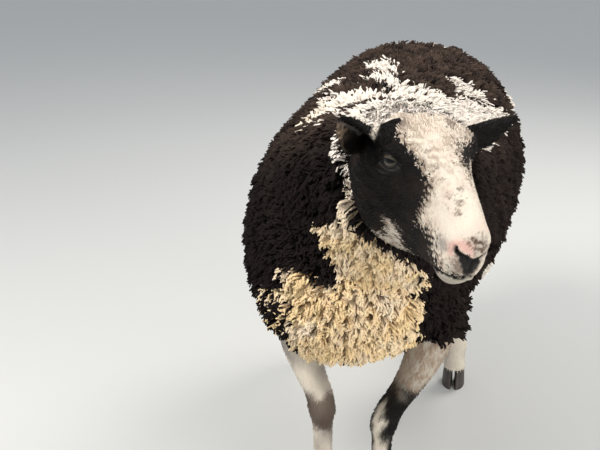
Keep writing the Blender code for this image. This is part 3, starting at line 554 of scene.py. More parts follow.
def on_side(line, side, shift=(0, 0, 0)):
    """A line of places of the left side, shifted, or its twin on the right."""
    return [mirrored(np.array(place) + shift, side) for place in line]


def near(points, at, spread):
    """One at a place and fading to nothing with distance."""
    away = (points - np.asarray(at)) / np.asarray(spread)
    return np.exp(-(away**2).sum(axis=1))


def line_distance(points, line):
    """How far each point lies from a line of places."""
    best = np.full(len(points), 1e9)
    for a, b in zip(line[:-1], line[1:]):
        a = np.asarray(a, float)
        step = np.asarray(b, float) - a
        share = np.clip(((points - a) @ step) / (step @ step), 0.0, 1.0)
        best = np.minimum(best, sizes(points - a - share[:, None] * step))
    return best


def near_line(points, line, spread):
    """One along a line of places and fading to nothing beside it."""
    return hump(line_distance(points, line), 0.0, spread)


def eye_axes(side):
    """The way an eye looks, up across it, and along its slit."""
    looks = mirrored(EYE_LOOKS, side)
    level = HEAD[2, :3]
    upwards = unit(level - looks * (looks @ level))
    return looks, upwards, np.cross(upwards, looks)


def from_eye(points, side):
    """The way from an eye to each place, its height, and its square distance in half slits."""
    _, upwards, across = eye_axes(side)
    away = points - mirrored(EYE_AT, side)
    high = away @ upwards
    return away, high, ((away @ across) / FISSURE_HALF_WIDTH) ** 2 + (high / FISSURE_HALF_HEIGHT) ** 2


# Drafts of the body


def barrel_rings():
    """Rings of the trunk, below its wool."""
    rings = []
    first = BARREL_STATIONS[0][1]
    last = BARREL_STATIONS[-1][1]
    for row in along(BARREL_STATIONS, BARREL_MESH[0], True):
        shift, place, width, top, bottom, middle, back, belly = row
        width = max(width - CORE_INSET, 0.004)
        upper = max(top - CORE_INSET, middle + 0.004)
        lower = min(bottom + CORE_INSET, middle - 0.004)
        left, height = oval(width, upper, lower, middle, BARREL_MESH[1], back, belly)
        y = first + CORE_INSET + (place - first) / (last - first) * (last - first - 2 * CORE_INSET)
        low = np.clip((middle - height) / (middle - bottom), 0.0, 1.0)
        rings.append(np.stack([left + shift + BELLY_LEAN * low, np.full_like(left, y), height], axis=1))
    return rings


def tube_rings(stations, count, sides, inset, flat):
    """Rings round a line of stations: square to it, or level where flat is asked."""
    rows = along(stations, count)
    ways = unit(np.gradient(rows[:, :3], axis=0))
    turn = np.arange(sides) * 2 * math.pi / sides
    rings = []
    for row, way in zip(rows, ways):
        side = np.array((1.0, 0.0, 0.0))
        out = np.array((0.0, 1.0, 0.0)) if flat else unit(np.cross(side, way))
        depth = inset(row[2]) if callable(inset) else inset
        wide = max(row[3] - depth, 0.005)
        deep = max(row[4] - depth, 0.005)
        ring = row[:3] + wide * np.cos(turn)[:, None] * side
        rings.append(ring + deep * np.sin(turn)[:, None] * out)
    return rings


def neck_rings():
    """Rings of the neck below its wool, with its crest and throat."""
    rows = along(NECK_STATIONS, NECK_MESH[0])
    rings = []
    for row, way in zip(rows, unit(np.gradient(rows[:, :3], axis=0))):
        side = unit(np.cross(way, (0.0, 0.0, 1.0)) * (1.0, 1.0, 0.0))
        side = side if side[0] > 0 else -side
        out = np.cross(side, way)
        out = out if out[2] > 0 else -out
        width, crest, throat = np.maximum(row[3:] - CORE_INSET, 0.012)
        left, height = oval(width, crest, -throat, 0.0, NECK_MESH[1])
        rings.append(row[:3] + left[:, None] * side + height[:, None] * out)
    return rings


def hind_inset(height):
    """How deep the skin lies below the wool of a hind leg."""
    return CORE_INSET * smooth_step(WOOL_ENDS_AT, WOOL_ENDS_AT + 0.04, height)


def body_draft():
    """Trunk, neck, legs and tail melted into one skin."""
    rings = [barrel_rings(), neck_rings(), tube_rings(TAIL_STATIONS, *TAIL_MESH, TAIL_INSET, False)]
    rings += [tube_rings(leg, *LEG_MESH, FORELEG_INSET, True) for leg in (RIGHT_FORELEG, LEFT_FORELEG)]
    rings += [tube_rings(leg, *LEG_MESH, hind_inset, True) for leg in (LEFT_HIND_LEG, RIGHT_HIND_LEG)]
    body = one_draft("body_draft", [closed_skin(own) for own in rings])
    remeshed(body, BODY_VOXEL)
    return body


def head_rings():
    """Rings of the head in its own frame, before its features."""
    rings = []
    table = [(row[0], 0.0, 0.0) + row[1:] for row in HEAD_STATIONS]
    for place, _, _, width, top, bottom, middle, taper in along(table, HEAD_MESH[0], True):
        left, height = oval(width, top, bottom, middle, HEAD_MESH[1], 2.5, 2.2)
        low = np.clip((middle - height) / (middle - bottom + 1e-6), 0.0, 1.0)
        rings.append(np.stack([left * (1.0 - taper * low**1.5), np.full_like(left, place), height], axis=1))
    return rings


def ear_axes(side):
    """An ear's root, the way it points, across it, and the way its cup opens, on the sheep."""
    out = unit(LEFT_EAR_POINTS if side > 0 else RIGHT_EAR_POINTS)
    opens = LEFT_EAR_OPENS if side > 0 else RIGHT_EAR_OPENS
    opens = HEAD[:3, :3] @ unit(opens - out * (opens @ out))
    out = HEAD[:3, :3] @ out
    return carry(mirrored(EAR_ROOT, side)[None, :], HEAD)[0], out, np.cross(opens, out), opens


def ear_shape(side):
    """A cupped leaf of even wall, rolled nearly shut at its root, on the sheep."""
    root, out, across, opens = ear_axes(side)
    lengths, widths = EAR_MESH
    verts = []
    for wall in (0.0, EAR_WALL):
        for i in range(lengths):
            share = i / (lengths - 1)
            rise = math.sin(math.pi * min(share * 1.35, 0.5 + 0.5 * share))
            span = EAR_HALF_WIDTH * (0.55 + 0.45 * rise)
            span *= math.sqrt(max(1.0 - share**3.2, 0.012))
            curl = math.radians(140 - 75 * share)
            radius = span / curl * 1.5
            angle = curl * (2 * np.arange(widths) / (widths - 1) - 1)
            r = max(radius - wall, radius * 0.35)
            place = root + out * (EAR_LENGTH * share - 0.014)
            row = place + across * (r * np.sin(angle))[:, None]
            row = row + opens * (radius - r * np.cos(angle))[:, None]
            row[:, 2] -= 0.01 * share**2
            verts.append(row)
    half = lengths * widths
    faces = []
    for i in range(lengths - 1):
        for j in range(widths - 1):
            a = i * widths + j
            quad = (a, a + 1, a + widths + 1, a + widths)
            faces.append(quad)
            faces.append(tuple(half + k for k in reversed(quad)))
    grid = np.arange(half).reshape(lengths, widths)
    border = np.concatenate([grid[0], grid[1:, -1], grid[-1, -2::-1], grid[-2:0:-1, 0]]).tolist()
    for a, b in zip(border, border[1:] + border[:1]):
        faces.append((a, b, half + b, half + a))
    return np.concatenate(verts), faces


def raise_features(points, normals):
    """Raises and hollows the plain head into brow, cheeks, nostrils, lips and chin."""
    rises = []
    for side in (-1, 1):
        for height, at, spread in SWELLINGS:
            rises.append(height * near(points, mirrored(at, side), spread))
        for height, line, shift, width in RIDGES:
            rises.append(height * near_line(points, on_side(line, side, shift), width))
    rises.append(CHIN[0] * near(points, *CHIN[1:]))
    rises.append(LIP_GROOVE[0] * near_line(points, *LIP_GROOVE[1:]))
    rises.append(THROAT[0] * near(points, *THROAT[1:]))
    moved = points
    for rise in rises:
        moved = moved + normals * rise[:, None]
    return moved


def lid_places(points):
    """Lays the skin over each eyeball as lids, opens the slit, and folds the lids."""
    lid = EYE_RADIUS + LID_THICKNESS
    for side in (-1, 1):
        away, high, inside = from_eye(points, side)
        distance = np.maximum(sizes(away), 1e-6)
        over = (away @ mirrored(EYE_LOOKS, side)) / distance > 0.2
        wanted = lid - fading(inside, 1.0, 14.0) * (LID_THICKNESS + OPENING_DEPTH)
        lift = np.where(over & (distance < lid), lid, distance)
        hold = fading(inside, 2.2, 3.0)
        target = lift * (1 - hold) + wanted * hold
        upper = np.where(high > 0, 1.0, 0.45)
        for height, reach, width in LID_ROLLS:
            target = target + height * upper * hump(np.sqrt(inside), reach, width)
        points = mirrored(EYE_AT, side) + away * (np.where(over, target, distance) / distance)[:, None]
    return points


def refine(obj, wanted):
    """Splits the faces of an object finer where asked."""
    work = bmesh.new()
    work.from_mesh(obj.data)
    work.verts.ensure_lookup_table()
    edges = [e for e in work.edges if wanted[e.verts[0].index] and wanted[e.verts[1].index]]
    bmesh.ops.subdivide_edges(work, edges=edges, cuts=1, use_grid_fill=True)
    bmesh.ops.triangulate(work, faces=[f for f in work.faces if len(f.verts) > 4])
    work.to_mesh(obj.data)
    work.free()


def head_draft():
    """Head and ears melted into one skin, with lids, nostrils, lips and folds."""
    verts, faces = closed_skin(head_rings())
    head = one_draft("head_draft", [(carry(verts, HEAD), faces), ear_shape(1), ear_shape(-1)])
    remeshed(head, HEAD_VOXEL)
    points = carry(vertex_vectors(head.data), HEAD_BACK)
    fine = np.zeros(len(points), bool)
    for side in (-1, 1):
        fine |= sizes(points - mirrored(EYE_AT, side)) < 0.027
        for line, reach in ((NOSTRIL, 0.008), (MOUTH, 0.006)):
            fine |= line_distance(points, on_side(line, side)) < reach
    refine(head, fine)
    points = carry(vertex_vectors(head.data), HEAD_BACK)
    normals = vertex_vectors(head.data, "normal") @ HEAD_BACK[:3, :3].T
    points = lid_places(raise_features(points, unit(normals)))
    head.data.vertices.foreach_set("co", carry(points, HEAD).ravel())
    head.data.update()
    return head


# Noise that bends and breaks up the coat


def waves(points, size, seed, count=10):
    """A smooth random value over space, about one wave for each size."""
    draw = np.random.default_rng(seed)
    ways = unit(draw.normal(size=(count, 3))) * (2 * math.pi / size)
    ways = ways * draw.uniform(0.6, 1.5, (count, 1))
    phases = draw.uniform(0, 2 * math.pi, count)
    return np.sin(points @ ways.T + phases).sum(axis=1) * math.sqrt(2.0 / count)


def swirl(points, size, seed):
    """A smooth random direction over space."""
    return np.stack([waves(points, size, seed + k) for k in range(3)], axis=1)


# Markings


def camera_axes():
    """The camera's right, up and view directions."""
    turn = math.radians(CAMERA_TURN)
    dip = math.radians(CAMERA_DIP)
    view = np.array((-math.sin(turn) * math.cos(dip), math.cos(turn) * math.cos(dip), -math.sin(dip)))
    right = unit(np.cross(view, (0.0, 0.0, 1.0)))
    return right, np.cross(right, view), view


def picture_places(points):
    """Where places on the sheep lie in the picture, once she stands in her place."""
    right, up, view = camera_axes()
    away = points + BODY_SHIFT - CAMERA_AT
    focus = CAMERA_LENS / SENSOR * PICTURE[0]
    depth = away @ view
    across = PICTURE[0] / 2 + focus * (away @ right) / depth
    down = PICTURE[1] / 2 - focus * (away @ up) / depth
    return np.stack([across, down], axis=1)


def patch(places, outline, soft):
    """One inside an outline of picture places, fading over a few of them."""
    corners = np.array(outline, float)
    x = places[:, 0]
    y = places[:, 1]
    inside = np.zeros(len(x), bool)
    best = np.full(len(x), 1e9)
    for a, b in zip(corners, np.roll(corners, -1, axis=0)):
        crossing = a[0] + (b[0] - a[0]) * (y - a[1]) / (b[1] - a[1] + 1e-9)
        inside ^= ((a[1] > y) != (b[1] > y)) & (x < crossing)
        step = b - a
        share = np.clip(((x - a[0]) * step[0] + (y - a[1]) * step[1]) / (step @ step), 0.0, 1.0)
        best = np.minimum(best, np.hypot(x - a[0] - share * step[0], y - a[1] - share * step[1]))
    return fading(np.where(inside, -best, best), 0.0, 4.0 / soft)


def mix(a, b, share):
    """Colours between a and b."""
    share = np.asarray(share)[:, None]
    return a * (1 - share) + b * share


def facing_camera(points, normals, low=-0.05, high=0.2):
    """One on the side that the photograph shows, nought on the hidden one."""
    towards = unit(CAMERA_AT - BODY_SHIFT - points)
    return smooth_step(low, high, (normals * towards).sum(axis=1))


def ragged_edge(points, sizes, seeds, fine):
    """A smooth random shift in the picture, of two sizes of wave."""
    coarse, small = sizes
    return np.stack([waves(points, coarse, s) + waves(points, small, s + 1) * fine for s in seeds], axis=1)


def wool_colours(points, normals):
    """White share of the wool at places on the body, and its dark and its pale colour there; the dark
    colour is partly sun-bleached and partly a painted highlight on the top and the left flank.
    """
    x, y, z = points.T
    places = picture_places(points) + ragged_edge(points, (0.022, 0.009), (5, 8), 0.7) * 1.4
    shown = facing_camera(points, normals)
    white = np.zeros(len(points))
    for outline in WHITE_PATCHES:
        white = np.maximum(white, patch(places, outline, 1.2))
    streaks = patch(places, SHOULDER_STREAKS, 5.0) * fading(-waves(points, 0.012, 21), -0.35, 6.0)
    white = np.maximum(white, streaks * 0.9) * shown
    bent = points + swirl(points, 0.06, 31) * 0.012 + swirl(points, 0.015, 35) * 0.004
    hidden = fading(np.abs(places[:, 0] - CHEST_MIDDLE), CHEST_REACH, 0.8) * fading(z, 0.48, 120.0)
    hidden = hidden * fading(y, -0.15, 120.0)
    for at, radius in HIDDEN_WHITE:
        hidden = np.maximum(hidden, fading(sizes(bent - at), radius, 260.0))
    white = np.maximum(white, hidden * (1 - shown))
    aside, along_face, out = carry(points, HEAD_BACK).T
    poll = fading(np.abs(aside), 0.062, 200.0) * smooth_step(-0.085, -0.065, along_face)
    white = np.maximum(white, poll * smooth_step(-0.1, -0.085, out))
    breeches = (y > 0.12) & (z < 0.38) & (x > 0.08)
    white = np.maximum(white, breeches * fading(z, 0.345, 200.0))
    cream = smooth_step(-0.05, -0.17, y) * smooth_step(0.77, 0.64, z)
    pale = mix(WHITE_WOOL, CREAM_WOOL, np.clip(cream * (0.85 + 0.15 * waves(points, 0.05, 41)), 0, 1))
    # Painted highlight, partly real sun-bleaching: the dark wool is lighter brown where it faces up and on
    # the left flank, where the light falls
    bleached_and_lit = 0.75 * smooth_step(0.3, 0.95, normals[:, 2]) + 0.22 * smooth_step(0.08, 0.22, x)
    bleached_and_lit = np.clip(bleached_and_lit * (0.75 + 0.35 * waves(points, 0.05, 44)), 0.0, 1.0)
    return white, mix(DARK_WOOL, SUN_BLEACHED_AND_LIT_WOOL, bleached_and_lit), pale


def leg_colours(points):
    """Colour of the short hair of the legs."""
    bent = points + swirl(points, 0.03, 51) * 0.004 + swirl(points, 0.008, 55) * 0.0015
    x, y, z = bent.T
    pale = mix(WHITE_HAIR, GREY_HAIR, np.clip(0.35 + 0.22 * waves(points, 0.05, 61), 0, 1))
    knee = fading(np.abs(z - 0.238), 0.036, 300.0) * fading(y, -0.285, 300.0)
    forearm = mix(WHITE_HAIR * 0.65, TAN_HAIR * 1.1, np.clip(0.55 + 0.45 * waves(bent, 0.018, 63), 0, 1))
    stripe = fading(np.abs(x - 0.03), 0.009, 500.0) * fading(y, -0.338, 400.0)
    shank = mix(BLACK_HAIR, WHITE_HAIR * 0.9, stripe)
    spots = fading(-waves(bent, 0.11, 71), -0.2, 18.0)
    colour = pale
    for leg, shade in (
        ((x < 0) & (y < 0), mix(pale, BROWN_HAIR * 0.8, knee * 0.85)),
        ((x > 0) & (y < 0), mix(shank, forearm, 1 - fading(z, 0.315, 200.0))),
        ((x > 0) & (y > 0), WHITE_HAIR * 0.92),
        ((x < 0) & (y > 0), mix(pale, BROWN_HAIR, spots)),
    ):
        colour = np.where(leg[:, None], shade, colour)
    return colour


def face_colours(points, normals):
    """Colour of the short hair and bare skin of the head, by places in its own frame."""
    head = carry(points, HEAD_BACK)
    fuzz = ragged_edge(points, (0.006, 0.0025), (81, 83), 1.0)
    places = picture_places(points)
    ragged = places + fuzz * 1.3
    crisp = places + fuzz * 0.35
    shown = facing_camera(points, normals, 0.0, 0.12)
    bent = head + swirl(points, 0.02, 85) * 0.002 + fuzz[:, :1] * 0.0012
    left_patch = np.maximum(
        fading(sizes((bent - (0.056, 0.1, -0.045)) / (1.0, 1.0, 0.9)), 0.034, 500.0),
        fading(bent[:, 1], 0.105, 400.0) * fading(bent[:, 2], -0.05, 400.0),
    )
    far_side = fading(-bent[:, 0], -0.022, 500.0)
    hidden_white = far_side * (1 - left_patch) * fading(-bent[:, 2], 0.112, 400.0)
    white = patch(places + fuzz * 2.1, FACE_WHITE, 0.9) * shown + hidden_white * (1 - shown)
    white = white * (1 - left_patch * far_side)
    white = np.maximum(white, patch(ragged, JAW_WHITE, 1.6) * shown * 0.8)
    pinkness = np.clip(0.16 + 0.16 * waves(points, 0.03, 87), 0, 1)
    pale = mix(WHITE_HAIR, WHITE_HAIR * 0.55 + PINK_SKIN * 0.45, pinkness)
    black = mix(BLACK_HAIR, BROWN_HAIR * 0.5, np.clip(0.04 + 0.1 * waves(points, 0.04, 88), 0, 1))
    tan = np.clip(0.18 + 0.34 * waves(points, 0.013, 89) + 0.22 * fuzz[:, 0], 0, 0.7)
    pale = mix(pale, TAN_HAIR * 1.15, tan * smooth_step(0.24, 0.14, head[:, 1]))
    colour = mix(black, pale, white)
    inner = patch(ragged, FACE_WHITE, 11.0)
    fringe = inner * (1 - inner) * 4.0 * white
    colour = mix(colour, TAN_HAIR * 0.7, np.clip(fringe * (0.55 + 0.6 * fuzz[:, 1]), 0, 0.8) * shown)
    for at, radius in FACE_SPOTS:
        away = np.hypot(*(ragged - at).T)
        colour = mix(colour, BROWN_HAIR * 1.3, fading(away, radius, 1.6) * 0.75 * shown)
    front = smooth_step(0.19, 0.23, head[:, 1]) * shown
    tip = smooth_step(0.225, 0.24, head[:, 1]) * shown
    mottled = np.clip(0.72 + 0.22 * fuzz[:, 0] + 0.15 * waves(points, 0.009, 90), 0.35, 1.0)
    for shade, outline, edge, soft, share in (
        (PINK_SKIN * 1.05, NOSE_PINK, places, 4.0, front * 0.85),
        (BROWN_HAIR * 1.2, NOSE_GREY, ragged, 5.0, front * mottled),
        (GREY_HAIR, LIP_GREY, ragged, 3.0, front * 0.7),
        (BROWN_HAIR * 1.5, LIP_BROWN, ragged, 5.0, front * 0.8),
        (BLACK_HAIR * 1.8, NOSE_BLACK, crisp, 1.0, tip),
        (WHITE_HAIR * 0.62, LOWER_LIP, crisp, 1.2, tip),
    ):
        colour = mix(colour, shade, patch(edge, outline, soft) * share)
    for side in (-1, 1):
        # Painted shade: the nostril openings and the mouth slit are darkened
        for line, width, strength in ((NOSTRIL, 0.0026, 1.4), (MOUTH, 0.0022, 1.3)):
            slit = near_line(head, on_side(line, side), width)
            colour = mix(colour, BLACK_HAIR, np.clip(slit * strength, 0, 1))
        away, high, inside = from_eye(head, side)
        reach = np.sqrt(inside)
        close = fading(sizes(away), 0.026, 600.0)
        # Around the eye: a painted highlight on the lower lid rim and on the lid fold, and painted shade in
        # the tear groove
        fold = near_line(head, on_side(LID_FOLD, side, (0.0, 0.002, -0.003)), 0.0016)
        groove = near_line(head, on_side(TEAR_GROOVE, side), 0.0022)
        for shade, share in (
            (BLACK_HAIR * 0.7, fading(reach, 1.3, 14.0) * close),
            # Painted highlight along the lower lid rim
            (GREY_HAIR * 0.5, hump(reach, 1.34, 0.09) * close * (high < 0) * 0.5),
            # Painted highlight along the lid fold on the black hair
            (GREY_HAIR * 0.45, fold * 0.35 * (1 - white)),
            # Painted shade in the tear groove
            (BLACK_HAIR * 0.5, groove * 0.9),
        ):
            colour = mix(colour, shade, share)
    return colour


def ear_colours(points, normals, side):
    """Colour of an ear: dark hair outside, paler hair and skin in the cup, and on the right ear a painted
    highlight along the rim of its fold.
    """
    root, out, across, opens = ear_axes(side)
    away = points - root
    share = (away @ out) / EAR_LENGTH
    low = away @ (across * -np.sign(across[2]))
    fuzz = waves(points, 0.008, 91 + side)
    colour = np.tile(BLACK_HAIR, (len(points), 1))
    if side > 0:
        cup = fading(share, 0.72, 12.0) * smooth_step(0.0, 0.01, low + fuzz * 0.002)
        return mix(colour, TAN_HAIR * 1.3 + PINK_SKIN * 0.2, cup * 0.9)
    inner = smooth_step(0.0, 0.5, normals @ opens)
    cup = inner * hump(share, 0.62, 0.22) * smooth_step(0.002, 0.01, low)
    colour = mix(colour, TAN_HAIR * 1.2, cup * np.clip(0.55 + 0.4 * fuzz, 0, 0.9))
    # Painted highlight: the rim of the right ear's fold, lit from above, is made pale grey
    fold = inner * hump(away @ across, 0.006, 0.0022) * fading(share, 0.8, 12.0)
    return mix(colour, GREY_HAIR * 1.3, fold * 0.55)


# The parts of the skin


def ear_share(points, side):
    """Whether places lie on an ear, beyond its root."""
    root, out, _, _ = ear_axes(side)
    away = points - root
    length = away @ out
    aside = sizes(away - length[:, None] * out)
    return (length > 0.012) & (length < EAR_LENGTH + 0.02) & (aside < 0.055)


def in_leg(points, stations):
    """Whether places lie on a leg, by its own rings."""
    table = np.array(stations)[::-1]
    x, y, wide, deep = (np.interp(points[:, 2], table[:, 2], table[:, k]) for k in (0, 1, 3, 4))
    return ((points[:, 0] - x) / wide) ** 2 + ((points[:, 1] - y) / deep) ** 2 < 1.35


def face_edge(points, head):
    """How far along the face the poll's wool reaches."""
    edge = np.where(np.abs(head[:, 0]) < 0.055, 0.04, 0.012) * smooth_step(-0.09, -0.04, head[:, 2])
    return edge + 0.005 * waves(points, 0.03, 13)


def part_of(points, on_head):
    """Names each place by the part it lies on."""
    parts = np.full(len(points), "trunk", dtype=object)
    x, y, z = points.T
    fore = (y < 0) & (z < FORELEG_WOOL_ENDS_AT)
    for side, word, stations in ((1, "left", LEFT_FORELEG), (-1, "right", RIGHT_FORELEG)):
        parts[fore & in_leg(points, stations)] = "foreleg_" + word
        hind = (y > 0.12) & (z < WOOL_ENDS_AT + 0.01 * waves(points, 0.05, 12)) & (x * side > 0)
        parts[hind] = "hindleg_" + word
    parts[(y > 0.495) & (np.abs(x - 0.012) < 0.075)] = "tail"
    head = carry(points, HEAD_BACK)
    parts[on_head & (head[:, 1] > face_edge(points, head))] = "face"
    for side, word in BOTH_SIDES:
        parts[on_head & ear_share(points, side)] = "ear_" + word
    return parts


def colours_of(points, normals, parts):
    """The coat's colour at each place."""
    white, dark, pale = wool_colours(points, normals)
    colour = mix(dark, pale, white)
    legs = np.isin(parts, LEG_PARTS)
    colour[legs] = leg_colours(points[legs])
    face = parts == "face"
    colour[face] = face_colours(points[face], normals[face])
    for side, word in BOTH_SIDES:
        ear = parts == "ear_" + word
        colour[ear] = ear_colours(points[ear], normals[ear], side)
    gap = patch(picture_places(points), EAR_GAP_WHITE, 1.5) * facing_camera(points, normals)
    return white, mix(colour, WHITE_HAIR, gap * (face | (parts == "ear_right")))


def lie_of(points, normals, parts):
    """The way the coat lies at each place, along the skin."""
    turned = HEAD[:3, :3]
    trunk = parts == "trunk"
    lie = np.tile((0.0, 0.45, -1.0), (len(points), 1))
    for own, way in (
        (parts == "face", turned @ (0.0, -1.0, -0.25)),
        (parts == "ear_left", ear_axes(1)[1]),
        (parts == "ear_right", ear_axes(-1)[1]),
        (trunk & (points[:, 1] < -0.25), (0.0, 0.1, -1.0)),
        (trunk & near_head(points), turned @ (0.0, 1.0, -0.5)),
        (np.isin(parts, LEG_PARTS + ("tail",)), (0.0, 0.0, -1.0)),
    ):
        lie[own] = way
    return unit(level(lie, normals) + 1e-6)


# The field of each part on the unwrap, and the middle round which the part is unrolled
ATLAS = {
    "trunk": (0.0, 0.3, 0.98, 0.68, (0.0, 0.0, 0.56)),
    "face": (0.0, 0.0, 0.4, 0.28, (0.0, 0.12, -0.075)),
    "ear_left": (0.42, 0.0, 0.08, 0.13, (0.0, 0.0, 0.0)),
    "ear_right": (0.42, 0.15, 0.08, 0.13, (0.0, 0.0, 0.0)),
    "foreleg_left": (0.52, 0.0, 0.1, 0.28, (0.06, -0.32, 0.0)),
    "foreleg_right": (0.63, 0.0, 0.1, 0.28, (-0.09, -0.3, 0.0)),
    "hindleg_left": (0.74, 0.0, 0.08, 0.28, (0.15, 0.265, 0.0)),
    "hindleg_right": (0.83, 0.0, 0.08, 0.28, (-0.146, 0.34, 0.0)),
    "tail": (0.92, 0.0, 0.06, 0.28, (0.012, 0.53, 0.4)),
}
# The girth and length of the parts that are unrolled as balls, and the height of the others
BALLS = {"trunk": (0.25, 0.55), "face": (0.07, 0.15)}
TUBE_HEIGHT = 0.36


def unwrapped(points, normals, parts):
    """Each place's spot on an unwrap of the skin, one field for each part."""
    spots = np.zeros((len(points), 2))
    head = carry(points, HEAD_BACK)
    for part, (left, low, wide, high, middle) in ATLAS.items():
        own = parts == part
        x, y, z = ((head if part == "face" else points)[own] - middle).T
        if part in BALLS:
            girth, length = BALLS[part]
            u = np.arctan2(x, z) / (2 * math.pi) + 0.5
            v = np.arctan2(np.hypot(x, z) / girth, y / length) / math.pi
        elif part.startswith("ear"):
            root, out, across, opens = ear_axes(1 if part == "ear_left" else -1)
            away = points[own] - root
            inner = (normals[own] @ opens > 0).astype(float)
            u = np.clip((away @ across) / 0.09 + 0.5, 0, 1) * 0.48 + 0.5 * inner
            v = (away @ out) / 0.13
        else:
            u = np.arctan2(x, -y) / (2 * math.pi) + 0.5
            v = z / TUBE_HEIGHT
        spots[own, 0] = left + wide * np.clip(u, 0, 1)
        spots[own, 1] = low + high * np.clip(v, 0, 1)
    return spots


# Materials


class Wire:
    """A number that changes over a surface, carried by one socket of a material."""

    def __init__(self, tree, socket):
        self.tree = tree
        self.socket = socket

    def reckon(self, kind, first, second):
        node = self.tree.nodes.new("ShaderNodeMath")
        node.operation = kind
        for slot, value in zip(node.inputs, (first, second)):
            plug(self.tree, slot, value)
        return Wire(self.tree, node.outputs[0])

    def __add__(self, other):
        return self.reckon("ADD", self, other)

    def __radd__(self, other):
        return self.reckon("ADD", other, self)

    def __sub__(self, other):
        return self.reckon("SUBTRACT", self, other)

    def __rsub__(self, other):
        return self.reckon("SUBTRACT", other, self)

    def __mul__(self, other):
        return self.reckon("MULTIPLY", self, other)

    def __rmul__(self, other):
        return self.reckon("MULTIPLY", other, self)

    def __truediv__(self, other):
        return self.reckon("DIVIDE", self, other)


def plug(tree, slot, value):
    """Sets a socket to a value, or links it."""
    if isinstance(value, Wire):
        tree.links.new(value.socket, slot)
    elif isinstance(value, tuple) and slot.type == "RGBA":
        slot.default_value = (*value, 1.0)
    else:
        slot.default_value = value


class Finish:
    """One material under its own Principled shader."""

    def __init__(self, name, roughness, **plain):
        self.material = bpy.data.materials.new(name)
        self.material.use_nodes = True
        self.tree = self.material.node_tree
        self.shader = self.tree.nodes["Principled BSDF"]
        self.shader.inputs["Roughness"].default_value = roughness
        for socket, value in plain.items():
            plug(self.tree, self.shader.inputs[socket.replace("_", " ")], value)

    def add(self, kind, values=None, out=0, **settings):
        """Adds a node: its settings first, then its sockets."""
        node = self.tree.nodes.new(kind)
        for key, value in settings.items():
            setattr(node, key, value)
        for key, value in (values or {}).items():
            plug(self.tree, node.inputs[key], value)
        return Wire(self.tree, node.outputs[out])

    def attribute(self, name, out=0):
        """Reads an attribute of the piece."""
        return self.add("ShaderNodeAttribute", out=out, attribute_name=name)

    def place(self):
        """The place on the piece."""
        return self.add("ShaderNodeTexCoord", out=3)

    def noise(self, vector, scale, detail=2.0):
        """A cloudy value from nought to one."""
        return self.add("ShaderNodeTexNoise", {"Vector": vector, "Scale": scale, "Detail": detail})

    def tint(self, colour, shade, share):
        """Mixes one colour into another."""
        return self.add("ShaderNodeMix", {0: share, 6: colour, 7: shade}, 2, data_type="RGBA")

    def give(self, socket, value):
        """Sends a value to the shader."""
        plug(self.tree, self.shader.inputs[socket], value)

    def bump(self, height, depth):
        """Roughens the surface by a height."""
        values = {"Height": height, "Strength": 1.0, "Distance": depth}
        self.give("Normal", self.add("ShaderNodeBump", values))


def wool_finish():
    """Crimped wool: the tuft's own colour, mottled, with the crimp as bump."""
    wool = Finish("crimped_wool", 1.0, Specular_IOR_Level=0.04)
    place = wool.place()
    mottle = wool.noise(place, 60.0)
    wool.give("Base Color", wool.tint(wool.attribute("Coat"), BETWEEN_LOCKS, mottle * 0.06))
    wool.bump(wool.noise(place, 900.0, 3.0), 0.0008)
    return wool.material


def hide_finish():
    """Skin under the coat: hair as fine combed bump, moist where it is bare."""
    hide = Finish("combed_hide", 0.75, Specular_IOR_Level=0.15)
    fine = hide.noise(hide.attribute("Combed", 1), 900.0, 3.0)
    hide.give("Base Color", hide.tint(hide.attribute("Coat"), BETWEEN_HAIRS, fine * 0.2))
    hide.give("Roughness", 0.8 - hide.attribute("Moist", 2) * 0.42)
    hide.bump(fine, 0.0011)
    return hide.material


def hair_finish():
    """Short flat hair, a little glossy."""
    hair = Finish("short_hair", 0.72, Specular_IOR_Level=0.07)
    mottle = hair.noise(hair.place(), 400.0)
    hair.give("Base Color", hair.tint(hair.attribute("Coat"), BETWEEN_HAIRS, mottle * 0.2))
    return hair.material


def eye_finish():
    """A wet eye: olive iris with a level slot pupil and a dark rim."""
    eye = Finish("wet_eye", 0.1, Specular_IOR_Level=0.12, Coat_Weight=0.22, Coat_Roughness=0.02)
    look = eye.attribute("Look", 1)
    u = eye.add("ShaderNodeSeparateXYZ", {0: look})
    v = Wire(eye.tree, u.socket.node.outputs[1])
    around = eye.add("ShaderNodeMath", {0: u * u + v * v * 1.15}, operation="SQRT")
    slot = (u / 0.6) * (u / 0.6) + (v / 0.21) * (v / 0.21)
    fibres = eye.noise(look, 14.0, 4.0)
    olive = eye.tint(IRIS_OLIVE, IRIS_FIBRES, fibres * 1.1)
    ring = eye.add("ShaderNodeMapRange", {0: around, 1: 0.7, 2: 0.86})
    rimmed = eye.tint(olive, IRIS_RIM, ring)
    dark = eye.add("ShaderNodeMapRange", {0: slot, 1: 1.15, 2: 0.85})
    eye.give("Base Color", eye.tint(rimmed, PUPIL_BLACK, dark))
    return eye.material


def horn_finish():
    """Dull dark horn with growth lines."""
    horn = Finish("hoof_horn", 0.48)
    lines = horn.noise(horn.add("ShaderNodeMapping", {0: horn.place(), 3: (0.25, 0.25, 5.0)}), 60.0, 3.0)
    horn.give("Base Color", horn.tint(PALE_HORN, DARK_HORN, lines * 1.2))
    horn.give("Roughness", 0.38 + lines * 0.3)
    horn.bump(lines, 0.0008)
    return horn.material


# Coat and skin


def set_colours(mesh, colours):
    """Stores the coat's colour for each vertex."""
    layer = mesh.color_attributes.new("Coat", "FLOAT_COLOR", "POINT")
    flat = np.ones((len(colours), 4))
    flat[:, :3] = np.clip(colours, 0.0, 1.0)
    layer.data.foreach_set("color", flat.ravel())


def set_layer(mesh, name, kind, values):
    """Stores a number or a vector for each vertex."""
    layer = mesh.attributes.new(name, kind, "POINT")
    layer.data.foreach_set("value" if kind == "FLOAT" else "vector", np.ascontiguousarray(values).ravel())


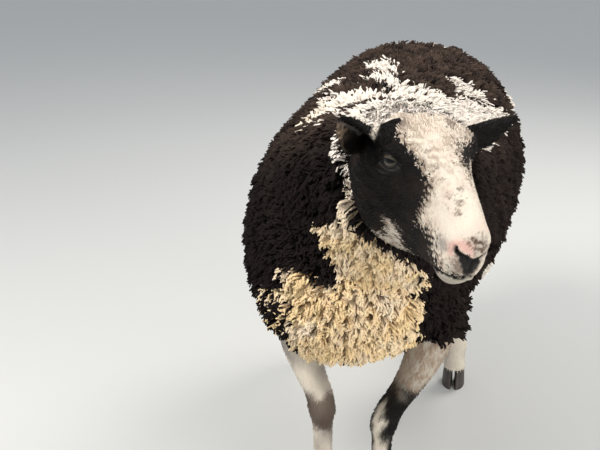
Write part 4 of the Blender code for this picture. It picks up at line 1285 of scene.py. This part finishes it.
def make_skin(material):
    """One skin for the whole sheep, before she is moved to her place."""
    body = body_draft()
    head = head_draft()
    for obj, value in ((body, 0.0), (head, 1.0)):
        set_layer(obj.data, "On_head", "FLOAT", np.full(len(obj.data.vertices), value))
    join = body.modifiers.new("Join", "BOOLEAN")
    join.operation = "UNION"
    join.object = head
    join.solver = "MANIFOLD"
    apply_modifiers(body)
    bpy.data.objects.remove(head, do_unlink=True)
    body.name = "skin"
    body.data.name = "skin"
    body.data.materials.clear()
    body.data.materials.append(material)
    body.data.shade_smooth()
    return body


def dress_skin(skin):
    """Gives the skin its colours, combed hair and moist places, and names its parts."""
    mesh = skin.data
    points = vertex_vectors(mesh)
    flags = np.empty(len(points))
    mesh.attributes["On_head"].data.foreach_get("value", flags)
    parts = part_of(points, flags > 0.5)
    white, colours = colours_of(points, vertex_vectors(mesh, "normal"), parts)
    woolly = np.isin(parts, WOOLLY_PARTS)
    # Painted shade: the skin under the dark wool is darkened to half, as it lies in the shade between the
    # locks
    colours[woolly] *= 0.5 + 0.5 * white[woolly, None]
    set_colours(mesh, colours)
    head = carry(points, HEAD_BACK)
    face = parts == "face"
    combed = np.where(face[:, None], head * (1.0, 0.14, 1.0), points * (1.0, 1.0, 0.14))
    set_layer(mesh, "Combed", "FLOAT_VECTOR", combed)
    moist = face * smooth_step(0.252, 0.264, head[:, 1]) * fading(np.abs(head[:, 2] + 0.045), 0.022, 400.0)
    for side in (-1, 1):
        away, _, inside = from_eye(head, side)
        rim = fading(np.sqrt(inside), 1.15, 16.0) * (sizes(away) < 0.024)
        moist = np.maximum(moist, rim)
    set_layer(mesh, "Moist", "FLOAT", moist)
    return parts


def tree_of(places):
    """A search tree of places."""
    tree = kdtree.KDTree(len(places))
    for index, place in enumerate(places.tolist()):
        tree.insert(place, index)
    tree.balance()
    return tree


def spread_roots(mesh, wanted, spacing, candidates, draw):
    """Evenly spread places on the wanted faces, with their outward direction."""
    mesh.calc_loop_triangles()
    tris = np.empty(len(mesh.loop_triangles) * 3, int)
    mesh.loop_triangles.foreach_get("vertices", tris)
    tris = tris.reshape(-1, 3)
    points = vertex_vectors(mesh)
    normals = vertex_vectors(mesh, "normal")
    tris = tris[wanted[tris].sum(axis=1) >= 2]
    a, b, c = (points[tris[:, k]] for k in range(3))
    area = sizes(np.cross(b - a, c - a))
    pick = draw.choice(len(tris), candidates, p=area / area.sum())
    r = np.sqrt(draw.random(candidates))[:, None]
    q = draw.random(candidates)[:, None]
    shares = (1 - r, r * (1 - q), r * q)
    places = sum(s * points[tris[pick, k]] for k, s in enumerate(shares))
    ways = unit(sum(s * normals[tris[pick, k]] for k, s in enumerate(shares)))
    tree = tree_of(places)
    alive = np.ones(candidates, bool)
    for index, place in enumerate(places.tolist()):
        if alive[index]:
            for _, other, _ in tree.find_range(place, spacing):
                if other > index:
                    alive[other] = False
    return places[alive], ways[alive]


def tuft_pieces(name, material, rings, root_spots, shades, outward):
    """Joins tufts into pieces that each stay under the limit of faces."""
    count, levels, sides, _ = rings.shape
    per_tuft = levels * sides + 1
    tris = []
    for s in range(sides):
        t = (s + 1) % sides
        for r in range(levels - 1):
            a = r * sides
            tris.append((a + s, a + t, a + t + sides))
            tris.append((a + s, a + t + sides, a + s + sides))
        a = (levels - 1) * sides
        tris.append((a + s, a + t, per_tuft - 1))
    for s in range(1, sides - 1):
        tris.append((0, s + 1, s))
    tris = np.array(tris)
    last = rings[:, -1].mean(axis=1)
    tips = last + (last - rings[:, -2].mean(axis=1)) * 0.3
    verts = np.concatenate([rings.reshape(count, -1, 3), tips[:, None]], axis=1)
    local = np.zeros((per_tuft, 2))
    for r in range(levels):
        for s in range(sides):
            local[r * sides + s] = (s / (sides - 1) - 0.5, r / levels - 0.5)
    local[-1] = (0.0, 0.5)
    per_piece = PIECE_LIMIT // len(tris)
    order = np.argsort(verts[:, 0, 1])
    pieces = []
    parts_wanted = max(math.ceil(count / per_piece), 1)
    for number, own in enumerate(np.array_split(order, parts_wanted)):
        mesh = bpy.data.meshes.new("%s_%d" % (name, number + 1))
        own_verts = verts[own].reshape(-1, 3)
        own_tris = (tris[None] + (np.arange(len(own)) * per_tuft)[:, None, None]).reshape(-1, 3)
        for rows, number_of, field, values in (
            (mesh.vertices, len(own_verts), "co", own_verts.ravel()),
            (mesh.loops, len(own_tris) * 3, "vertex_index", own_tris.ravel()),
            (mesh.polygons, len(own_tris), "loop_start", np.arange(len(own_tris)) * 3),
        ):
            rows.add(number_of)
            rows.foreach_set(field, values)
        mesh.polygons.foreach_set("use_smooth", np.ones(len(own_tris), bool))
        mesh.update(calc_edges=True)
        set_colours(mesh, shades[own].reshape(-1, 3))
        spots = root_spots[own][:, None] + local[None] * 0.003
        flat = spots.reshape(-1, 2)[own_tris.ravel()]
        mesh.uv_layers.new(name="OFBake").data.foreach_set("uv", flat.ravel())
        middles = verts[own].mean(axis=1)[:, None]
        axis = unit(tips[own] - rings[own][:, 0].mean(axis=1))[:, None]
        away = verts[own] - middles
        away = unit(away - axis * (away * axis).sum(axis=2)[:, :, None])
        facing = unit(away * (1.0 - SOFTNESS) + outward[own][:, None] * SOFTNESS)
        mesh.normals_split_custom_set_from_vertices(facing.reshape(-1, 3))
        mesh.materials.append(material)
        pieces.append(place_object(mesh.name, mesh))
    return pieces


def round_paths(paths, across, widths, marks, draw):
    """Rings round each path, square to it."""
    paths = np.stack(paths, axis=1)
    phase = draw.uniform(0, 2 * math.pi, len(paths))
    ways = unit(np.gradient(paths, axis=1))
    rings = []
    one = across
    for number, (_, fat) in enumerate(marks):
        way = ways[:, number]
        one = unit(level(one, way) + 1e-6)
        two = np.cross(way, one)
        ring = []
        for s in range(TUFT_SIDES):
            turn = 2 * math.pi * s / TUFT_SIDES + phase
            out = one * np.cos(turn)[:, None] + two * np.sin(turn)[:, None]
            ring.append(paths[:, number] + out * (widths * fat)[:, None])
        rings.append(np.stack(ring, axis=1))
    return np.stack(rings, axis=1)


def bend_hairs(roots, normals, lie, height, lean, width, draw):
    """Rings of short hairs that rise a little and lie along the skin."""
    across = np.cross(lie, normals)
    sway = draw.normal(0.0, HAIR_SWAY, len(roots))
    paths = []
    for share, _ in HAIR_MARKS:
        rise = height * np.sin(share * math.pi / 2) - HAIR_ROOT_DEPTH
        place = roots + normals * rise[:, None] + lie * (lean * share)[:, None]
        paths.append(place + across * (sway * share)[:, None])
    return round_paths(paths, across, width, HAIR_MARKS, draw)


def curl_locks(roots, normals, lie, middles, spin, height, lean, width, draw):
    """Rings of blunt locks that wind in towards the middles of their curls and fold over."""
    away = level(roots - middles, normals)
    beside = np.cross(normals, away)
    stray = level(unit(draw.normal(size=roots.shape)), normals)
    crimp = draw.uniform(0.0, 2 * math.pi, len(roots))
    beside_lie = np.cross(normals, lie)
    paths = []
    for share, _ in LOCK_MARKS:
        turn = (spin * share)[:, None]
        wound = (away * np.cos(turn) + beside * np.sin(turn)) * (1.0 - WIND_IN * share) - away
        rise = height * math.sin(share * math.pi * FOLD_OVER) - LOCK_ROOT_DEPTH
        place = roots + normals * rise[:, None] + wound + lie * (lean * share**1.6)[:, None]
        wave = beside_lie * (np.sin(crimp + share * 5.0) * LOCK_CRIMP)[:, None]
        paths.append(place + wave * share + stray * (LOCK_STRAY * share))
    return round_paths(paths, np.cross(lie, normals), width, LOCK_MARKS, draw)


def shade_tufts(colours, levels, root_shade, tip_colour, spread, draw):
    """Colours of each tuft from root to tip, with a tone of its own, painted shade darkening it towards the
    root, and the tip colour added towards the tip.
    """
    tone = draw.uniform(1.0 - spread, 1.0 + spread, (len(colours), 1))
    shades = []
    for r in range(levels + 1):
        share = r / levels
        # Painted shade: the tuft is darkened towards its root by the root shade
        tint = colours * tone * (root_shade + (1.05 - root_shade) * share) + tip_colour * share**2
        shades.extend([tint] * (TUFT_SIDES if r < levels else 1))
    return np.stack(shades, axis=1)


def grow_fleece(skin, parts, material, draw):
    """Locks of wool over trunk, neck, tail and breeches, gathered into small curls."""
    wanted = np.isin(parts, WOOLLY_PARTS)
    middles, _ = spread_roots(skin.data, wanted, CURL_SPACING, CURL_TRIES, draw)
    roots, normals = spread_roots(skin.data, wanted, WOOL_SPACING, WOOL_TRIES, draw)
    count = len(roots)
    _, y, z = roots.T
    own = part_of(roots, near_head(roots))
    white, dark, pale = wool_colours(roots, normals)
    lie = lie_of(roots, normals, own)
    lie = unit(lie + swirl(roots, 0.05, 101) * 0.35 + swirl(roots, 0.016, 104) * 0.3)
    lie = unit(level(lie, normals))
    depth = np.where(own == "tail", TAIL_INSET, CORE_INSET)
    breeches = (y > 0.1) & (z < 0.33)
    depth = np.where(breeches, np.minimum(depth, hind_inset(z) + 0.006), depth)
    head = carry(roots, HEAD_BACK)
    behind = np.where(near_head(roots), face_edge(roots, head) - head[:, 1], 1.0)
    depth = depth * (0.3 + 0.55 * smooth_step(0.0, 0.045, behind) + 0.15 * smooth_step(0.05, 0.12, behind))
    tree = tree_of(middles)
    which = np.array([tree.find(root)[1] for root in roots.tolist()])
    spin = draw.choice((-1.0, 1.0), len(middles)) * draw.uniform(1.0, 2.4, len(middles))
    size = draw.uniform(0.85, 1.15, len(middles))
    gap = sizes(roots - middles[which]) / CURL_SPACING
    domed = 1.08 - 0.42 * np.clip(gap, 0.0, 1.1) ** 2
    lumps = domed * size[which] * (1.0 + 0.07 * waves(roots, 0.045, 111))
    height = depth * np.clip(lumps, 0.55, 1.22) * draw.uniform(0.92, 1.08, count)
    under = smooth_step(0.5, 0.36, z)
    chest = smooth_step(-0.18, -0.3, y) * smooth_step(0.72, 0.62, z)
    lean = depth * draw.uniform(0.3, 0.6, count) * (1.0 - 0.5 * under) * (1.0 - 0.4 * chest)
    width = LOCK_WIDTH * draw.uniform(0.8, 1.2, count) * np.clip(depth / CORE_INSET, 0.5, 1.0)
    rings = curl_locks(roots, normals, lie, middles[which], spin[which], height, lean, width, draw)
    light = (white + draw.normal(0.0, 0.05, count) > 0.5)[:, None]
    # Tips of light locks get a painted highlight, tips of dark locks a sun-bleached brown; the roots of
    # dark locks get painted shade
    tips = np.where(light, (0.04, 0.04, 0.035), SUN_BLEACHED_AND_LIT_WOOL * 0.1)
    root_shade = np.where(light, 1.0, 0.8)
    shades = shade_tufts(np.where(light, pale, dark), len(LOCK_MARKS), root_shade, tips, 0.05, draw)
    spots = unwrapped(roots, normals, np.where(own == "tail", "tail", "trunk"))
    return tuft_pieces("fleece", material, rings, spots, shades, normals)


def near_head(points):
    """Whether places lie on the head's own skin."""
    head = carry(points, HEAD_BACK)
    return (head[:, 1] > -0.02) & (np.abs(head[:, 0]) < 0.2) & (head[:, 2] > -0.19)


def grow_hair(name, skin, parts, wanted_parts, spacing, candidates, material, draw):
    """Short hair lying flat on the parts asked for."""
    wanted = np.isin(parts, wanted_parts)
    roots, normals = spread_roots(skin.data, wanted, spacing, candidates, draw)
    head = carry(roots, HEAD_BACK)
    own = part_of(roots, near_head(roots))
    bald = head[:, 1] > 0.25
    for side in (-1, 1):
        bald |= sizes(head - mirrored(EYE_AT, side)) < 0.0215
    haired = ~(np.isin(own, WOOLLY_PARTS) | ((own == "face") & bald))
    roots, normals, own, head = roots[haired], normals[haired], own[haired], head[haired]
    _, colours = colours_of(roots, normals, own)
    lie = unit(lie_of(roots, normals, own) + swirl(roots, 0.02, 121) * 0.22)
    lie = unit(level(lie, normals))
    long = np.where(own == "face", smooth_step(0.26, 0.02, head[:, 1]), 1.0)
    poll = (own == "face") * fading(head[:, 1], 0.062, 60.0) * smooth_step(-0.07, -0.03, head[:, 2])
    height = (0.0008 + 0.0016 * long + 0.0026 * poll) * draw.uniform(0.7, 1.3, len(roots))
    lean = (0.0045 + 0.005 * long + 0.005 * poll) * draw.uniform(0.8, 1.2, len(roots))
    width = (0.0006 + 0.0003 * long) * draw.uniform(0.8, 1.2, len(roots))
    rings = bend_hairs(roots, normals, lie, height, lean, width, draw)
    # Painted shade: the hairs are a little darker at the root
    shades = shade_tufts(colours, len(HAIR_MARKS), 0.95, np.zeros(3), 0.08, draw)
    return tuft_pieces(name, material, rings, unwrapped(roots, normals, own), shades, normals)


# Eyes and claws


def make_eye(side, word, material):
    """An eyeball with its cornea, and the place of each point as the eye sees it."""
    looks, upwards, across = eye_axes(side)
    turn = (np.arange(EYE_SIDES) * 2 * math.pi / EYE_SIDES)[:, None]
    rings = []
    for polar in np.linspace(0.02, math.pi - 0.02, EYE_RINGS):
        ring = np.cos(polar) * looks + np.sin(polar) * (np.cos(turn) * across + np.sin(turn) * upwards)
        rings.append(ring * (1.0 + CORNEA_RISE * math.exp(-((polar / CORNEA_REACH) ** 2))))
    verts, faces = closed_skin(rings)
    places = carry(verts * EYE_RADIUS + mirrored(EYE_AT, side), HEAD) + BODY_SHIFT
    eye = solid("eye_" + word + "_wet", places, faces)
    look = np.stack([verts @ across, verts @ upwards, verts @ looks], axis=1)
    set_layer(eye.data, "Look", "FLOAT_VECTOR", look)
    eye.data.materials.append(material)
    eye.data.shade_smooth()
    return eye


def rounded(outline, rounds):
    """Cuts the corners of a closed outline."""
    for _ in range(rounds):
        ahead = np.roll(outline, -1, axis=0)
        cuts = [outline * 0.75 + ahead * 0.25, outline * 0.25 + ahead * 0.75]
        outline = np.stack(cuts, axis=1).reshape(-1, 2)
    return outline


def make_claw(name, foot, side, material):
    """One half of a cloven foot, flat on the floor, with a rounded wall."""
    x, y, top, _, deep = foot
    top = top - CAD_GAP
    inner = CLEFT / 2
    outer = CLEFT / 2 + CLAW_WIDTH
    heel = y + deep * 0.95
    toe = heel - CLAW_LENGTH
    rings = []
    for share in CLAW_LEVELS:
        front = toe + 0.02 * share
        back = heel + 0.006 * share
        squeeze = (1.0 - 0.1 * share) * (0.985 if share < 0.01 else 1.0)
        outline = np.array((
            (inner + 0.003, front),
            (inner + 0.001, front + 0.022),
            (inner, back - 0.01),
            (inner + 0.006, back),
            (outer * squeeze - 0.006, back),
            (outer * squeeze, back - 0.014),
            (outer * squeeze, front + 0.028),
            (outer * squeeze - 0.006, front + 0.01),
            (inner + 0.009, front),
        ))
        across, front_to_back = rounded(outline, 2).T
        ring = np.stack([x + side * across, front_to_back, np.full_like(across, share * top)], axis=1)
        rings.append(ring + BODY_SHIFT)
    claw = solid(name, *closed_skin(rings))
    claw.data.materials.append(material)
    claw.data.shade_smooth()
    claw.data.set_sharp_from_angle(angle=math.radians(50))
    return claw


# Camera, light and floor


def make_camera():
    """The photograph's camera."""
    data = bpy.data.cameras.new("camera")
    data.lens = CAMERA_LENS
    data.sensor_width = SENSOR
    camera = place_object("camera", data)
    camera.location = CAMERA_AT
    camera.rotation_euler = Vector(camera_axes()[2]).to_track_quat("-Z", "Y").to_euler()
    bpy.context.scene.camera = camera


def make_light(name, place, aim, size, power, colour):
    """A soft lamp aimed at a place."""
    data = bpy.data.lights.new(name, "AREA")
    data.shape = "DISK"
    data.size = size
    data.energy = power
    data.color = colour
    lamp = place_object(name, data)
    lamp.location = place
    lamp.rotation_euler = (Vector(aim) - Vector(place)).to_track_quat("-Z", "Y").to_euler()


def make_studio():
    """A pale floor and soft light from above and all round."""
    world = bpy.data.worlds.new("studio")
    world.use_nodes = True
    colour, strength = world.node_tree.nodes["Background"].inputs[:2]
    colour.default_value = SKY
    strength.default_value = SKY_STRENGTH
    bpy.context.scene.world = world
    bpy.context.scene.view_settings.view_transform = "Standard"
    for lamp in LAMPS:
        make_light(*lamp)
    mesh = bpy.data.meshes.new("floor")
    corners = [(x * FLOOR_REACH, y * FLOOR_REACH, 0) for x, y in ((-1, -1), (1, -1), (1, 1), (-1, 1))]
    mesh.from_pydata(corners, [], [(0, 1, 2, 3)])
    floor = place_object("floor", mesh)
    pale = Finish("pale_floor", 0.85)
    pale.give("Base Color", FLOOR_COLOUR)
    mesh.materials.append(pale.material)


def dress_sheep():
    """Makes every piece and hands it to the frame."""
    draw = np.random.default_rng(SEED)
    skin = make_skin(hide_finish())
    parts = dress_skin(skin)
    coat = grow_fleece(skin, parts, wool_finish(), draw)
    short = hair_finish()
    hair = grow_hair("face_hair", skin, parts, HEAD_PARTS, FACE_HAIR_SPACING, FACE_HAIR_TRIES, short, draw)
    hair += grow_hair("leg_hair", skin, parts, LEG_PARTS, LEG_HAIR_SPACING, LEG_HAIR_TRIES, short, draw)
    for piece in [skin] + coat + hair:
        piece.data.transform(Matrix.Translation(Vector(BODY_SHIFT)))
        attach(piece, "root")
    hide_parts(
        "torso", "neck", "head", "ear_left", "ear_right", "tail",
        "foreleg_left", "foreleg_right", "hindleg_left", "hindleg_right",
    )
    wet = eye_finish()
    for side, word in BOTH_SIDES:
        eye = make_eye(side, word, wet)
        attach(eye, "root")
        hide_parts("eye_" + word)
    horn = horn_finish()
    feet = {
        "forehoof_right": RIGHT_FORELEG[-1],
        "forehoof_left": LEFT_FORELEG[-1],
        "hindhoof_left": LEFT_HIND_LEG[-1],
        "hindhoof_right": RIGHT_HIND_LEG[-1],
    }
    for name, foot in feet.items():
        for side, word in BOTH_SIDES:
            node = "%s_%s_claw" % (name, word)
            claw = make_claw(node + "_horn", foot, side, horn)
            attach(claw, "root")
            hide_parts(node)


make_camera()
make_studio()
dress_sheep()
